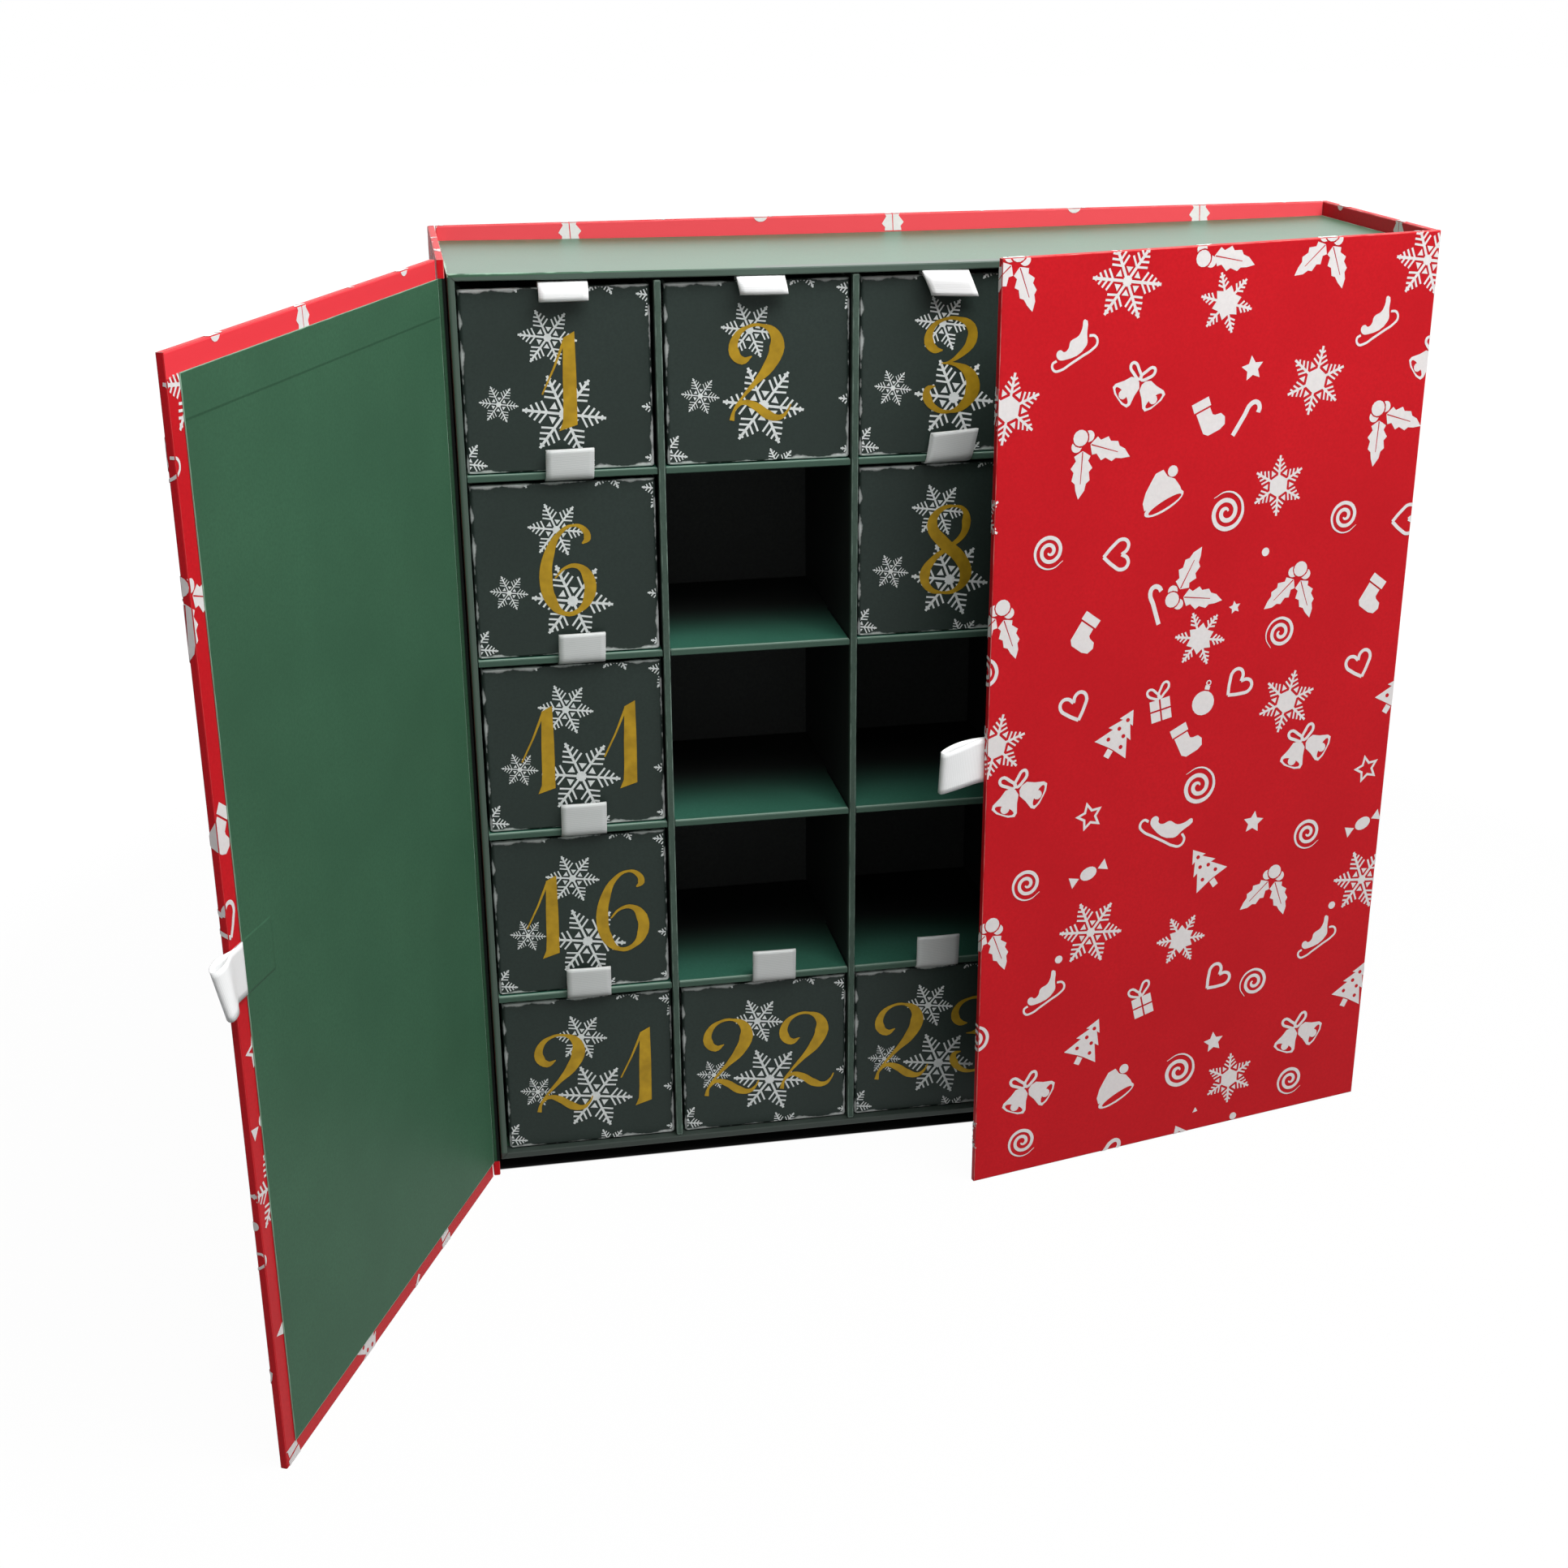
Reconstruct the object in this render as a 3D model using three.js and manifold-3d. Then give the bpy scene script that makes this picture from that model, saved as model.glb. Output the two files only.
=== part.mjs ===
// A book-style advent calendar box: five paper-covered greyboards fold round a tray of numbered drawers.
// Millimetres, +Z up, front towards -Y. The origin is the middle of the back board's bottom edge.
import * as THREE from "three";
import { mergeVertices } from "three/addons/utils/BufferGeometryUtils.js";
import Module from "manifold-3d";

const wasm = await Module();
wasm.setup();

// Tray and grid
const columns = 5;
const rows = 5;
const cellWidth = 57.5;
const cellHeight = 55.7;
const trayDepth = 76.5;
const trayWall = 2.2;
const gridBoard = 2.0;
const traySag = 1.2; // the top wall bows down this far at mid-width
const sagSteps = 12;
const gridRecess = 0.6; // dividers stand this far behind the tray's front edge
const shelfRecess = 0.5; // shelves stand this far behind the dividers' front edge
const lapClearance = 0.3; // on each side of a board in its slot
const backPanel = 1.0;
const trayEdge = 0.35; // softened arris of a paper-wrapped edge
const mitreCut = 0.3;

// Case
const caseBoard = 2.2;
const caseEdge = 0.4;
const square = 4.5; // the case stands this far past the tray above and below
const trayToSide = 0.6;
const trayToBack = 0.3;
const doorInFront = 2.6; // a closed door's inner face, in front of the tray
const hingeRelief = 0.45; // the side board ends this far behind the crease
const hingeCrease = 0.35; // the door board starts this far from the crease
const linerCrease = 0.12; // the liner runs over the crease to this far from its line
const doorGap = 0.8; // between the two closed doors
const linerPaper = 0.25;
const linerMargin = 5.4; // the red border left around the door's green liner
const paperGap = 0.1;

// Doors as they stand in the rest pose, in degrees from closed
const leftDoorAngle = 114.7;
const rightDoorAngle = 12.1;

// Drawers
const drawerSideGap = 0.65; // on each side of a drawer in its cell
const drawerTopGap = 1.2;
const drawerLift = 0.3;
const drawerRecess = 2.6; // behind the tray's front edge
const drawerBackGap = 0.8;
const drawerWall = 1.5; // two layers of folded card
const drawerFloor = 1.0;
const drawerCorner = 1.4;
const drawerFold = 0.6; // roundness of the folded rim and the bottom edges
const endFlap = 0.5; // the rolled-over front and rear panels step in by this
const endFlapMitre = 5.0;
const emptyCells = [7, 12, 13, 17, 18];
// Drawers sit loosely in their cells, so some stand off the middle.
const drawerShift = { 1: -0.25, 2: 0.3, 6: -0.2, 11: 0.15, 16: -0.1, 21: 0.3, 22: 0.3 };

// Ribbons
const tabWidth = 14.4;
const tabStand = 11.0; // an upright tab's height over its drawer
const tabReach = 1.3; // how far a tab's inner face stands in front of its shelf
const ribbonPaper = 0.4;
const tabTail = 9.0; // the glued end inside the drawer
const tabSteps = 18;
const foldedLayers = 2.4; // a fold's thickness in layers, with the air between them
const tabDroop = 3.0; // the top row's tabs hang over the drawer's front by this
const doorRibbonWidth = 14.4;
const leftLoopLength = 9.4;
const rightLoopLength = 14.5;
const loopSlit = 3.0;
const loopSag = 2.2;
// The pulls are glued by hand, each a little off its drawer's middle line.
const tabShift = { 1: 2.6, 2: 0.7, 3: -1.4, 6: 2.3, 8: 0.2, 11: 3.6, 16: 2.3, 21: 0.4, 22: 2.6, 23: -0.7 };

const boardStep = cellHeight + gridBoard;
const columnStep = cellWidth + gridBoard;
const innerWidth = columns * cellWidth + (columns - 1) * gridBoard;
const gridHeight = rows * cellHeight + (rows - 1) * gridBoard;
const innerHeight = gridHeight + traySag + lapClearance;
const trayWidth = innerWidth + 2 * trayWall;
const trayHeight = innerHeight + 2 * trayWall;
const caseHeight = trayHeight + 2 * square;
const trayBack = -caseBoard / 2 - trayToBack;
const trayFront = trayBack - trayDepth;
const trayBottom = square;
const cellFloor = trayBottom + trayWall;
const cellBack = trayBack - backPanel - lapClearance;
const caseInner = trayWidth / 2 + trayToSide;
const hingeX = caseInner + caseBoard;
const hingeY = trayFront - doorInFront;
const doorWidth = hingeX - doorGap / 2 - hingeCrease;

// Each piece's colour, roughness and metalness
const paint = (color, roughness) => new THREE.MeshStandardMaterial({ color, roughness, metalness: 0 });
const redPaper = paint("#c4202a", 0.55);
const greenPaper = paint("#38604a", 0.6);
const blackCard = paint("#151716", 0.8);
const drawerCard = paint("#313836", 0.7);
const satinRibbon = paint("#f2f2ef", 0.4);

const object = new THREE.Group();

function piece(name, geometry, material, parent = object) {
  const mesh = new THREE.Mesh(geometry, material);
  mesh.name = name;
  parent.add(mesh);
  return mesh;
}

// Booleans

function solidOf(geometry) {
  const bare = geometry.clone();
  bare.deleteAttribute("normal");
  bare.deleteAttribute("uv");
  const merged = mergeVertices(bare, 1e-4);
  return new wasm.Manifold(
    new wasm.Mesh({
      numProp: 3,
      vertProperties: new Float32Array(merged.attributes.position.array),
      triVerts: new Uint32Array(merged.index.array),
    }),
  );
}

function geometryOf(solid) {
  const mesh = solid.getMesh();
  const geometry = new THREE.BufferGeometry();
  geometry.setAttribute("position", new THREE.BufferAttribute(mesh.vertProperties, 3));
  geometry.setIndex(new THREE.BufferAttribute(mesh.triVerts, 1));
  geometry.computeVertexNormals();
  return geometry;
}

const cut = (geometry, ...tools) =>
  geometryOf(tools.reduce((solid, tool) => solid.subtract(solidOf(tool)), solidOf(geometry)));
const join = (geometry, ...others) =>
  geometryOf(others.reduce((solid, other) => solid.add(solidOf(other)), solidOf(geometry)));

// Shapes

function outline(points) {
  return new THREE.Shape(points.map(([x, y]) => new THREE.Vector2(x, y)));
}

function rectangle(width, height, radius = 0) {
  const x = width / 2;
  const y = height / 2;
  if (!radius) return outline([[-x, -y], [x, -y], [x, y], [-x, y]]);
  const shape = new THREE.Shape();
  shape.moveTo(-x + radius, -y);
  shape.lineTo(x - radius, -y);
  shape.absarc(x - radius, -y + radius, radius, -Math.PI / 2, 0);
  shape.lineTo(x, y - radius);
  shape.absarc(x - radius, y - radius, radius, 0, Math.PI / 2);
  shape.lineTo(-x + radius, y);
  shape.absarc(-x + radius, y - radius, radius, Math.PI / 2, Math.PI);
  shape.lineTo(-x, -y + radius);
  shape.absarc(-x + radius, -y + radius, radius, Math.PI, 1.5 * Math.PI);
  return shape;
}

// A flat sheet of the given thickness, its outline in XY, centred on z = 0, with softened edges.
function sheet(shape, thickness, edge, edgeSteps = 1, curveSegments = 3) {
  return new THREE.ExtrudeGeometry(shape, {
    depth: thickness - 2 * edge,
    bevelEnabled: edge > 0,
    bevelThickness: edge,
    bevelSize: edge,
    bevelOffset: -edge,
    bevelSegments: edgeSteps,
    curveSegments,
  }).translate(0, 0, edge - thickness / 2);
}

const box = (width, depth, height) => new THREE.BoxGeometry(width, depth, height);

// Stands a sheet up facing the front: its outline's Y becomes Z.
const facingFront = (geometry) => geometry.rotateX(Math.PI / 2);
// Stands a sheet up facing the side: its outline's X becomes Y, and its Y becomes Z.
const facingSide = (geometry) => geometry.rotateX(Math.PI / 2).rotateZ(Math.PI / 2);

// Case boards

function backBoard() {
  const width = 2 * caseInner - 2 * lapClearance;
  piece("back_board", facingFront(sheet(rectangle(width, caseHeight), caseBoard, caseEdge, 2)), redPaper)
    .position.set(0, 0, caseHeight / 2);
}

function sideBoard(name, side) {
  const front = hingeY + hingeRelief;
  const back = caseBoard / 2;
  const board = facingSide(sheet(rectangle(back - front, caseHeight), caseBoard, caseEdge, 2));
  piece(name, board, redPaper).position.set(side * (caseInner + caseBoard / 2), (front + back) / 2, caseHeight / 2);
}

// Points counter-clockwise round a teardrop that lies along X, from its neck to its rounded end.
function teardrop(from, to, halfNeck, halfMouth, middle, steps) {
  const upper = [];
  for (let i = 0; i <= steps; i++) {
    const turn = (Math.PI * i) / steps;
    const along = (1 - Math.cos(turn)) / 2;
    const half = halfNeck * (1 - along) + halfMouth * Math.sin(turn) * Math.sqrt(along);
    upper.push([from + (to - from) * along, half]);
  }
  const lower = upper.slice(halfNeck ? 0 : 1, -1).reverse().map(([x, half]) => [x, -half]);
  return [...upper, ...lower].reverse().map(([x, half]) => new THREE.Vector2(x, middle + half));
}

// A ribbon loop that leaves the liner's edge, crosses the door's border and stands past its free edge.
function doorLoop(length, hand) {
  const layers = 2 * ribbonPaper;
  const middle = paperGap + layers / 2;
  const edge = hingeCrease + doorWidth;
  const start = edge - linerMargin + lapClearance;
  const neck = edge + lapClearance;
  const stripEnd = neck + ribbonPaper;
  const strip = box(stripEnd - start, layers, doorRibbonWidth).translate((start + stripEnd) / 2, middle, 0);
  const halfMouth = loopSlit / 2 + ribbonPaper;
  const rim = new THREE.Shape(teardrop(neck, edge + length, ribbonPaper, halfMouth * 1.2, middle, 12));
  const slitStart = stripEnd + 2 * ribbonPaper;
  const slitEnd = edge + length - ribbonPaper;
  rim.holes.push(new THREE.Path(teardrop(slitStart, slitEnd, 0, halfMouth * 1.2 - ribbonPaper, middle, 10)));
  const ring = new THREE.ExtrudeGeometry(rim, { depth: doorRibbonWidth, bevelEnabled: false })
    .translate(0, 0, -doorRibbonWidth / 2);
  const loop = join(ring, strip);
  const position = loop.attributes.position;
  for (let i = 0; i < position.count; i++) {
    const past = Math.max(0, position.getX(i) - edge) / length;
    position.setZ(i, position.getZ(i) + caseHeight / 2 - loopSag * past * past);
  }
  return hand > 0 ? loop : loop.rotateZ(Math.PI).translate(0, 2 * middle, 0);
}

// A door with its liner and ribbon, modelled closed about the crease and then swung open.
function door(name, hand, angle, loopLength) {
  const hinge = new THREE.Group();
  hinge.position.set(-hand * hingeX, hingeY, 0);
  hinge.rotation.z = -hand * THREE.MathUtils.degToRad(angle);
  object.add(hinge);
  const board = facingFront(sheet(rectangle(doorWidth, caseHeight), caseBoard, caseEdge, 2));
  piece(`${name}_door_board`, board, redPaper, hinge)
    .position.set(hand * (hingeCrease + doorWidth / 2), -caseBoard / 2, caseHeight / 2);
  const linerStart = linerCrease;
  const linerEnd = hingeCrease + doorWidth - linerMargin;
  const liner = facingFront(
    sheet(rectangle(linerEnd - linerStart, caseHeight - 2 * linerMargin), linerPaper, 0),
  );
  piece(`${name}_door_liner`, liner, greenPaper, hinge)
    .position.set((hand * (linerStart + linerEnd)) / 2, paperGap + linerPaper / 2, caseHeight / 2);
  piece(`${name}_door_ribbon`, doorLoop(loopLength, hand), satinRibbon, hinge);
}

// Tray

// A rectangle whose top edge bows down.
function sagging(width, height) {
  const points = [[-width / 2, -height / 2], [width / 2, -height / 2]];
  for (let i = 0; i <= sagSteps; i++) {
    const across = 1 - (2 * i) / sagSteps;
    points.push([(across * width) / 2, height / 2 - traySag * (1 - across * across)]);
  }
  return outline(points);
}

// One wrapped frame: four walls with softened front arrises and a mitre line at each front corner.
function trayFrame() {
  const shape = sagging(trayWidth, trayHeight);
  shape.holes.push(sagging(innerWidth, innerHeight));
  const walls = facingFront(sheet(shape, trayDepth, trayEdge, 2));
  walls.translate(0, (trayFront + trayBack) / 2, trayBottom + trayHeight / 2);
  const mitres = [];
  for (const side of [-1, 1]) {
    for (const level of [-1, 1]) {
      const mitre = box(trayWall * 1.6, mitreCut, mitreCut).rotateY((side * level * -Math.PI) / 4);
      mitres.push(
        mitre.translate(
          (side * (trayWidth - trayWall)) / 2,
          trayFront,
          trayBottom + trayHeight / 2 + (level * (trayHeight - trayWall)) / 2,
        ),
      );
    }
  }
  piece("tray_frame", cut(walls, ...mitres), greenPaper);
}

function backPanelCard() {
  const card = facingFront(
    sheet(sagging(innerWidth - 2 * lapClearance, innerHeight - 2 * lapClearance), backPanel, 0),
  );
  piece("tray_back_panel", card, blackCard)
    .position.set(0, trayBack - backPanel / 2, trayBottom + trayHeight / 2);
}

const dividerX = (n) => -innerWidth / 2 + n * columnStep - gridBoard / 2;
const shelfZ = (n) => cellFloor + n * boardStep - gridBoard / 2;
const lapMiddle = (trayFront + gridRecess + cellBack) / 2; // where the two half slots meet

// Upright board, whole at the front and slotted from the rear for the shelves.
function divider(n) {
  const front = trayFront + gridRecess;
  const bottom = cellFloor + lapClearance;
  const top = cellFloor + gridHeight;
  const slot = gridBoard / 2 + lapClearance;
  const points = [[front, bottom], [cellBack, bottom]];
  for (let shelf = 1; shelf < rows; shelf++) {
    const z = shelfZ(shelf);
    points.push([cellBack, z - slot], [lapMiddle - lapClearance / 2, z - slot]);
    points.push([lapMiddle - lapClearance / 2, z + slot], [cellBack, z + slot]);
  }
  points.push([cellBack, top], [front, top]);
  const board = facingSide(sheet(outline(points), gridBoard, 0.25));
  piece(`divider_${n}`, board, greenPaper).position.x = dividerX(n);
}

// Level board, slotted from the front for the dividers and whole at the rear.
function shelf(n) {
  const front = trayFront + gridRecess + shelfRecess;
  const side = innerWidth / 2 - lapClearance;
  const slot = gridBoard / 2 + lapClearance;
  const points = [[-side, cellBack], [-side, front]];
  for (let upright = 1; upright < columns; upright++) {
    const x = dividerX(upright);
    points.push([x - slot, front], [x - slot, lapMiddle + lapClearance / 2]);
    points.push([x + slot, lapMiddle + lapClearance / 2], [x + slot, front]);
  }
  points.push([side, front], [side, cellBack]);
  piece(`shelf_${n}`, sheet(outline(points), gridBoard, 0.25), greenPaper).position.z = shelfZ(n);
}

// Drawers

const cellX = (column) => -innerWidth / 2 + column * columnStep + cellWidth / 2;
const cellZ = (row) => cellFloor + (rows - 1 - row) * boardStep;
const drawerFront = trayFront + drawerRecess;
const drawerWidth = cellWidth - 2 * drawerSideGap;
const drawerHeight = cellHeight - drawerLift - drawerTopGap;
const drawerDepth = cellBack - drawerBackGap - drawerFront;

// A folded carton: double walls with a rolled rim, open on top, about the middle of its front's bottom edge.
function carton() {
  const outer = sheet(rectangle(drawerWidth, drawerDepth, drawerCorner), drawerHeight, drawerFold, 2);
  outer.translate(0, drawerDepth / 2, drawerHeight / 2);
  const clearWidth = drawerWidth - 2 * drawerWall;
  const clearDepth = drawerDepth - 2 * drawerWall - 2 * endFlap;
  const deep = drawerHeight - drawerFloor;
  const well = box(clearWidth, clearDepth, deep + 1).translate(0, drawerDepth / 2, drawerFloor + (deep + 1) / 2);
  // Each end's rolled-over panel is cut back at both sides, so that the side walls can fold over it.
  const reach = clearWidth / 2;
  const inset = clearDepth / 2 + endFlap;
  const ends = outline([
    [-reach, -inset],
    [-reach, inset],
    [-reach + endFlap, inset],
    [-reach + endFlap, clearDepth / 2],
    [reach - endFlap, clearDepth / 2],
    [reach - endFlap, inset],
    [reach, inset],
    [reach, -inset],
    [reach - endFlap, -inset],
    [reach - endFlap, -clearDepth / 2],
    [-reach + endFlap, -clearDepth / 2],
    [-reach + endFlap, -inset],
  ]);
  const relief = sheet(ends, deep - endFlapMitre, 0).translate(
    0,
    drawerDepth / 2,
    drawerHeight - (deep - endFlapMitre) / 2 + 1,
  );
  // The rim's inner edge is rolled too.
  const flare = new THREE.ExtrudeGeometry(rectangle(clearWidth, clearDepth), {
    depth: 1,
    bevelThickness: drawerFold,
    bevelSize: drawerFold * 0.7,
    bevelSegments: 1,
  }).translate(0, drawerDepth / 2, drawerHeight);
  return cut(outer, well, relief, flare);
}

// The outline of a ribbon that follows a run of points and is folded double from doubleFrom on.
function ribbonOutline(points, doubleFrom) {
  const left = [];
  const right = [];
  points.forEach((p, i) => {
    const before = points[Math.max(0, i - 1)];
    const after = points[Math.min(points.length - 1, i + 1)];
    const along = new THREE.Vector2().subVectors(after, before).normalize();
    const half = ((i < doubleFrom ? 1 : foldedLayers) * ribbonPaper) / 2;
    left.push([p.x - along.y * half, p.y + along.x * half]);
    right.unshift([p.x + along.y * half, p.y - along.x * half]);
  });
  return outline([...left, ...right]);
}

// Ribbon pull: glued inside the front, out over the rim, and up in front of the shelf or, in the top row,
// folded down over the front. The outline is in (Y, Z) from the rim's front edge.
function pullTab(row) {
  const half = ribbonPaper / 2;
  const shelfFace = gridRecess + shelfRecess - drawerRecess;
  const standY = shelfFace - tabReach;
  const inside = drawerWall + endFlap + lapClearance + half;
  const overRim = lapClearance + half;
  const glued = [
    new THREE.Vector2(inside, -tabTail),
    new THREE.Vector2(inside, -2),
    new THREE.Vector2(inside - 0.5, overRim - 0.1),
    new THREE.Vector2(drawerWall / 2, overRim + 0.1),
  ];
  const hanging = [new THREE.Vector2(standY + 0.9, overRim - 0.2), new THREE.Vector2(standY + 0.1, -tabDroop)];
  const standing = [
    new THREE.Vector2(standY + 0.6, overRim + 0.3),
    new THREE.Vector2(standY, 3),
    new THREE.Vector2(standY, tabStand),
  ];
  const path = new THREE.SplineCurve([...glued, ...(row === 0 ? hanging : standing)]).getPoints(tabSteps);
  const band = new THREE.ExtrudeGeometry(ribbonOutline(path, tabSteps * 0.75), {
    depth: tabWidth,
    bevelEnabled: false,
  });
  // The outline's X is the row's Y, its Y is Z, and the ribbon's width lies along X.
  return band.rotateX(Math.PI / 2).rotateZ(Math.PI / 2).translate(-tabWidth / 2, 0, 0);
}

function drawer(number) {
  const row = Math.floor((number - 1) / columns);
  const column = (number - 1) % columns;
  const label = String(number).padStart(2, "0");
  const group = new THREE.Group();
  group.position.set(cellX(column) + (drawerShift[number] ?? 0), drawerFront, cellZ(row) + drawerLift);
  object.add(group);
  piece(`drawer_${label}`, carton(), drawerCard, group);
  piece(`pull_tab_${label}`, pullTab(row), satinRibbon, group)
    .position.set(tabShift[number] ?? 0, 0, drawerHeight);
}

backBoard();
sideBoard("left_side_board", -1);
sideBoard("right_side_board", 1);
door("left", 1, leftDoorAngle, leftLoopLength);
door("right", -1, rightDoorAngle, rightLoopLength);
trayFrame();
backPanelCard();
for (let n = 1; n < columns; n++) divider(n);
for (let n = 1; n < rows; n++) shelf(n);
for (let number = 1; number <= rows * columns; number++) {
  if (!emptyCells.includes(number)) drawer(number);
}

export default object;
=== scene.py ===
# A book-style advent calendar box: papered boards round a tray of numbered drawers with ribbon pulls.
# Lengths are in millimetres until a piece is finished. Up is +Z and the front looks to -Y, as in the frame.
import math

import bmesh
import bpy
from mathutils import Matrix, Vector


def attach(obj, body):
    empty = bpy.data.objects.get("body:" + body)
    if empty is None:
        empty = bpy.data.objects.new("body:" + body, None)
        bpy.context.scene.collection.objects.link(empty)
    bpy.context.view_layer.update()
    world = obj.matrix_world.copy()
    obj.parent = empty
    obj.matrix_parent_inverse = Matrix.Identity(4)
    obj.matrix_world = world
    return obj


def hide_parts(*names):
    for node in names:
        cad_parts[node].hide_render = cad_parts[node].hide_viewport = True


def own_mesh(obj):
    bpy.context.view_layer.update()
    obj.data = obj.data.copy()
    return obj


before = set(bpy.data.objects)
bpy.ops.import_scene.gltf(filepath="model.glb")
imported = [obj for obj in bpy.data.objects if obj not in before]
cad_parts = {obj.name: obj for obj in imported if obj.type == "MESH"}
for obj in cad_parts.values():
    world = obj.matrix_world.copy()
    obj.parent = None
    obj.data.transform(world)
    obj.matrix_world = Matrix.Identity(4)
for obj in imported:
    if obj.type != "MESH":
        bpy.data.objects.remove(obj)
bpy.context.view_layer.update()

MM = 0.001

# Case, doors and tray, as the frame has them
CASE_HEIGHT = 301.4
BOARD = 2.2
HINGE_X = 152.75
HINGE_Y = -80.5
DOOR_START = 0.35
DOOR_WIDTH = 152.0
LEFT_DOOR_ANGLE = 114.7
RIGHT_DOOR_ANGLE = 12.1
SIDE_FRONT = -80.05
SIDE_DEPTH = 81.15
BACK_WIDTH = 300.5
BACK_FACE = 1.1
LINER_MARGIN = 5.4
LINER_START = 0.12

TRAY_FRONT = -77.9
TRAY_BACK = -1.4
TRAY_WIDTH = 299.9
TRAY_BOTTOM = 4.5
TRAY_TOP = 296.9
CELL_WIDTH = 57.5
CELL_HEIGHT = 55.7
GRID_BOARD = 2.0
CELL_FLOOR = 6.7
COLUMNS = 5
ROWS = 5
COLUMN_STEP = CELL_WIDTH + GRID_BOARD
ROW_STEP = CELL_HEIGHT + GRID_BOARD

DRAWER_WIDTH = 56.2
DRAWER_HEIGHT = 54.2
DRAWER_DEPTH = 71.8
DRAWER_FRONT = -75.3
DRAWER_LIFT = 0.3
EMPTY_CELLS = (7, 12, 13, 17, 18)
DRAWER_SHIFT = {1: -0.25, 2: 0.3, 6: -0.2, 11: 0.15, 16: -0.1, 21: 0.3, 22: 0.3}
DRAWERS = [number for number in range(1, 26) if number not in EMPTY_CELLS]


def at(x, y, z=0.0):
    return Matrix.Translation((x, y, z))


def spun(degrees, axis="Z"):
    return Matrix.Rotation(math.radians(degrees), 4, axis)


LEFT_DOOR = at(-HINGE_X, HINGE_Y) @ spun(-LEFT_DOOR_ANGLE)
RIGHT_DOOR = at(HINGE_X, HINGE_Y) @ spun(RIGHT_DOOR_ANGLE)

# Camera, from the photograph's own lines
CAMERA_PLACE = (-168.03, -706.29, 383.57)
CAMERA_YAW = -10.41
CAMERA_PITCH = -21.44
CAMERA_ROLL = 0.34
CAMERA_LENS = 48.96


def as_mesh(name, work):
    """Ends a bmesh as a mesh."""
    mesh = bpy.data.meshes.new(name)
    work.to_mesh(mesh)
    work.free()
    return mesh


def in_scene(name, data):
    made = bpy.data.objects.new(name, data)
    bpy.context.scene.collection.objects.link(made)
    return made


# Materials

def linear(hex_colour):
    channels = [int(hex_colour[i:i + 2], 16) / 255 for i in (1, 3, 5)]
    return (*[c / 12.92 if c <= 0.04045 else ((c + 0.055) / 1.055) ** 2.4 for c in channels], 1.0)


def add(tree, kind, inputs=None, **settings):
    """Adds a node with its settings, and its inputs as values or links."""
    node = tree.nodes.new(kind)
    for name, value in settings.items():
        setattr(node, name, value)
    for socket, value in (inputs or {}).items():
        if isinstance(value, bpy.types.NodeSocket):
            tree.links.new(value, node.inputs[socket])
        else:
            node.inputs[socket].default_value = value
    return node


def material(name, **shader):
    """An empty material with its shader's plain values; returns it, its tree and the shader."""
    made = bpy.data.materials.new(name)
    made.use_nodes = True
    tree = made.node_tree
    surface = tree.nodes["Principled BSDF"]
    for socket, value in shader.items():
        surface.inputs[socket.replace("_", " ")].default_value = value
    return made, tree, surface


def edge_group():
    """How far a point on a box-shaped board is from its nearest edge, in metres."""
    group = bpy.data.node_groups.new("distance from board edge", "ShaderNodeTree")
    for name in ("Centre", "Turn", "Half"):
        group.interface.new_socket(name, in_out="INPUT", socket_type="NodeSocketVector")
    group.interface.new_socket("Distance", in_out="OUTPUT", socket_type="NodeSocketFloat")
    group.interface.new_socket("Place", in_out="OUTPUT", socket_type="NodeSocketVector")
    given = add(group, "NodeGroupInput").outputs
    place = add(group, "ShaderNodeTexCoord").outputs["Object"]
    board = add(
        group,
        "ShaderNodeMapping",
        {"Vector": place, "Location": given["Centre"], "Rotation": given["Turn"]},
        vector_type="TEXTURE",
    ).outputs["Vector"]
    reach = add(group, "ShaderNodeVectorMath", {0: board}, operation="ABSOLUTE").outputs[0]
    inside = add(group, "ShaderNodeVectorMath", {0: given["Half"], 1: reach}, operation="SUBTRACT").outputs[0]
    axes = add(group, "ShaderNodeSeparateXYZ", {0: inside}).outputs
    low = add(group, "ShaderNodeMath", {0: axes[0], 1: axes[1]}, operation="MINIMUM").outputs[0]
    high = add(group, "ShaderNodeMath", {0: axes[0], 1: axes[1]}, operation="MAXIMUM").outputs[0]
    rest = add(group, "ShaderNodeMath", {0: low, 1: axes[2]}, operation="MAXIMUM").outputs[0]
    second = add(group, "ShaderNodeMath", {0: rest, 1: high}, operation="MINIMUM").outputs[0]
    add(group, "NodeGroupOutput", {"Distance": second, "Place": board})
    return group


EDGE_GROUP = edge_group()


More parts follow.
